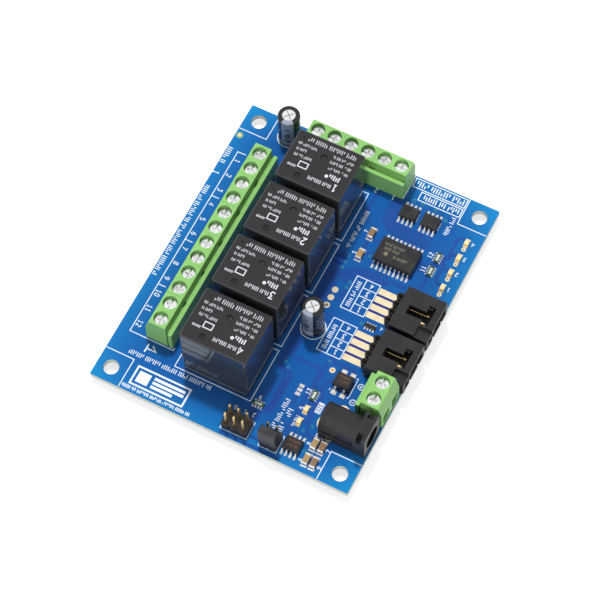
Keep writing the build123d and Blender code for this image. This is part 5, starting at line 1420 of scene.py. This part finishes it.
class RELAYBOARD_OT_small_parts(bpy.types.Operator):
    """Builds the ceramic capacitors, resistor arrays and lights with their ends and solder"""
    bl_idname = "relayboard.small_parts"
    bl_label = "Small parts"

    def execute(self, context):
        ends, solder = bmesh.new(), bmesh.new()
        self.ceramics(ends, solder)
        self.arrays(ends, solder)
        self.lights()
        piece = finished_piece("part_ends", ends, "tin_plate")
        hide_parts("component_ends")
        solder_piece("part_solder", solder)
        return {"FINISHED"}

    def ceramics(self, ends, solder):
        wide, long, tall = CERAMIC_SIZE
        half = long / 2 - CERAMIC_END
        for name, places in (("tan_ceramics", TAN_CERAMICS), ("rose_ceramics", ROSE_CERAMICS)):
            body = bmesh.new()
            for x, y in places:
                place = turned_place(x, y)
                soft_block(body, place, (-wide / 2 + 0.05, -half - 0.1, SEAT + 0.04),
                           (wide / 2 - 0.05, half + 0.1, SEAT + tall - 0.05), 0.1)
                for side in (-1, 1):
                    end_block(ends, place, 0, wide / 2, side, (half, long / 2), tall, 0.13, 3)
                    solder_wedge(solder, place, 0, side * long / 2, wide * 0.94, 0.42, tall * 0.7, side)
            piece = finished_piece(name, body, name)
            if name == "tan_ceramics":
                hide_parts("ceramic_capacitors")

    def arrays(self, ends, solder):
        wide, deep, tall = ARRAY_SIZE
        green, dark = bmesh.new(), bmesh.new()
        marks = Pen(SEAT + tall - SUNK, SEAT + tall + 0.012)
        for x, y, degrees in ARRAYS:
            place = turned_place(x, y, degrees)
            body = dark if (x, y) == PLAIN_ARRAY else green
            soft_block(body, place, (-wide / 2, -deep / 2 + 0.12, SEAT + 0.02),
                       (wide / 2, deep / 2 - 0.12, SEAT + tall), 0.06)
            if body is green:
                marks.place = place
                for left, right in ((-0.95, -0.35), (-0.25, 0.25), (0.35, 0.95)):
                    marks.box(left, -0.34, right, 0.34)
            for i in range(4):
                across = (i - 1.5) * ARRAY_PITCH
                for side in (-1, 1):
                    end_block(ends, place, across, 0.22, side, (deep / 2 - 0.4, deep / 2), tall - 0.01, 0.06)
                    solder_wedge(solder, place, across, side * deep / 2, 0.42, 0.3, tall * 0.6, side)
        finished_piece("array_body_dark", dark, "array_body_dark")
        piece = finished_piece("array_bodies", green, "array_body")
        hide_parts("resistor_arrays")
        marks.piece("array_print", "array_print", "array_body")

    def lights(self):
        wide, long, base = LIGHT_SIZE
        lens_long, lens_tall = LIGHT_LENS
        body, gilt = bmesh.new(), bmesh.new()
        for x, y in LIGHTS:
            place = turned_place(x, y)
            soft_block(body, place, (-wide / 2, -long / 2 + 0.3, SEAT),
                       (wide / 2, long / 2 - 0.3, SEAT + base), 0.03)
            soft_block(body, place, (-wide / 2 + 0.06, -lens_long / 2, SEAT + base - 0.05),
                       (wide / 2 - 0.06, lens_long / 2, SEAT + base + lens_tall), 0.12, 3)
            for side in (-1, 1):
                end_block(gilt, place, 0, wide / 2, side, (long / 2 - 0.35, long / 2), base, 0.04)
                solder_wedge(gilt, place, 0, side * long / 2, wide * 0.8, 0.2, base * 0.9, side)
        piece = finished_piece("light_bodies", body, "light_lens")
        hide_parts("indicator_lights")
        bmesh.ops.recalc_face_normals(gilt, faces=gilt.faces)
        finished_piece("light_ends", gilt, "light_gilt")


class RELAYBOARD_OT_solder(bpy.types.Operator):
    """Finishes the solder and adds the fillets round the chip leads"""
    bl_idname = "relayboard.solder"
    bl_label = "Solder"

    def execute(self, context):
        dress("solder_joints", "solder", edge=0.02 * MM, angle=50)
        mesh = bmesh.new()
        for node, ways, span in (*((chip, 4, 6.0) for chip in SMALL_CHIPS), ("expander_chip", 9, 10.3)):
            y = middle(node).y
            for x in chip_pins(node, ways):
                for side in (-1, 1):
                    solder_wedge(mesh, turned_place(x, y), 0, side * (span / 2), 0.5, 0.32, 0.16, side)
        solder_piece("lead_solder", mesh)
        return {"FINISHED"}


class RELAYBOARD_OT_stage(bpy.types.Operator):
    """Sets the pale floor, the even light, the lamps and the camera"""
    bl_idname = "relayboard.stage"
    bl_label = "Studio"

    def execute(self, context):
        studio = context.scene.relay_board_studio
        self.floor()
        self.world(context, studio)
        self.lamp("key_lamp", (-0.18, 0.26, 0.9), 0.1, studio.key_power, False)
        self.lamp("fill_lamp", (0.15, -0.95, 0.5), 0.5, studio.fill_power, True)
        self.lamp("edge_lamp", (1.0, -0.3, 0.1), 0.3, studio.edge_power, False)
        self.camera(context, studio)
        context.scene.view_settings.view_transform = "Standard"
        return {"FINISHED"}

    def floor(self):
        mesh = bmesh.new()
        bmesh.ops.create_grid(mesh, x_segments=8, y_segments=8, size=1.6)
        made = placed_mesh("studio_floor", mesh, "studio_paper")
        made.location.z = CAD_BOX[0].z

    def world(self, context, studio):
        world = bpy.data.worlds.new("studio_world")
        context.scene.world = world
        world.use_nodes = True
        tree = world.node_tree
        rays = add_node(tree, "LightPath").outputs
        seen = calc(tree, "MAXIMUM", rays["Is Camera Ray"], rays["Is Transmission Ray"])
        plain = calc(tree, "MAXIMUM", seen, rays["Is Glossy Ray"])
        strength = ramp(tree, plain, 0.0, 1.0, studio.world, 1.0)
        feed(tree, tree.nodes["Background"], {"Color": (1, 1, 1), "Strength": strength})

    def lamp(self, name, place, size, power, glossy):
        light = bpy.data.lights.new(name, "AREA")
        light.shape = "DISK"
        light.size = size
        light.energy = power
        made = bpy.data.objects.new(name, light)
        bpy.context.scene.collection.objects.link(made)
        made.location = place
        made.rotation_euler = Vector(place).to_track_quat("Z", "Y").to_euler()
        made.visible_glossy = glossy

    def camera(self, context, studio):
        data = bpy.data.cameras.new("camera")
        data.lens = studio.lens
        data.sensor_width = 36
        data.clip_start = 0.05
        data.clip_end = 20
        made = bpy.data.objects.new("camera", data)
        context.scene.collection.objects.link(made)
        flat = math.cos(studio.elevation)
        back = Vector((
            math.sin(studio.azimuth) * flat, -math.cos(studio.azimuth) * flat, math.sin(studio.elevation),
        ))
        made.location = Vector(AIM) * MM + back * studio.distance
        turn = back.to_track_quat("Z", "Y").to_matrix().to_4x4() @ Matrix.Rotation(-studio.roll, 4, "Z")
        made.rotation_euler = turn.to_euler()
        context.scene.camera = made


OPERATORS = [
    RELAYBOARD_OT_board, RELAYBOARD_OT_tracks, RELAYBOARD_OT_print, RELAYBOARD_OT_terminals,
    RELAYBOARD_OT_relays, RELAYBOARD_OT_capacitors, RELAYBOARD_OT_connectors, RELAYBOARD_OT_chips,
    RELAYBOARD_OT_small_parts, RELAYBOARD_OT_solder, RELAYBOARD_OT_stage,
]


class RELAYBOARD_PT_panel(bpy.types.Panel):
    """Lists the steps that dress the board"""
    bl_idname = "RELAYBOARD_PT_panel"
    bl_label = "Relay board"
    bl_space_type = "VIEW_3D"
    bl_region_type = "UI"
    bl_category = "Relay board"

    def draw(self, context):
        for step in OPERATORS:
            self.layout.operator(step.bl_idname)


CLASSES = [BoardSizes, BoardColours, StudioSettings, *OPERATORS, RELAYBOARD_PT_panel]


def register():
    for item in CLASSES:
        bpy.utils.register_class(item)
    bpy.types.Scene.relay_board_sizes = PointerProperty(type=BoardSizes)
    bpy.types.Scene.relay_board_colours = PointerProperty(type=BoardColours)
    bpy.types.Scene.relay_board_studio = PointerProperty(type=StudioSettings)


def unregister():
    del bpy.types.Scene.relay_board_studio
    del bpy.types.Scene.relay_board_colours
    del bpy.types.Scene.relay_board_sizes
    for item in reversed(CLASSES):
        bpy.utils.unregister_class(item)


def main():
    register()
    for step in OPERATORS:
        area, name = step.bl_idname.split(".")
        getattr(getattr(bpy.ops, area), name)()


if __name__ == "__main__":
    main()
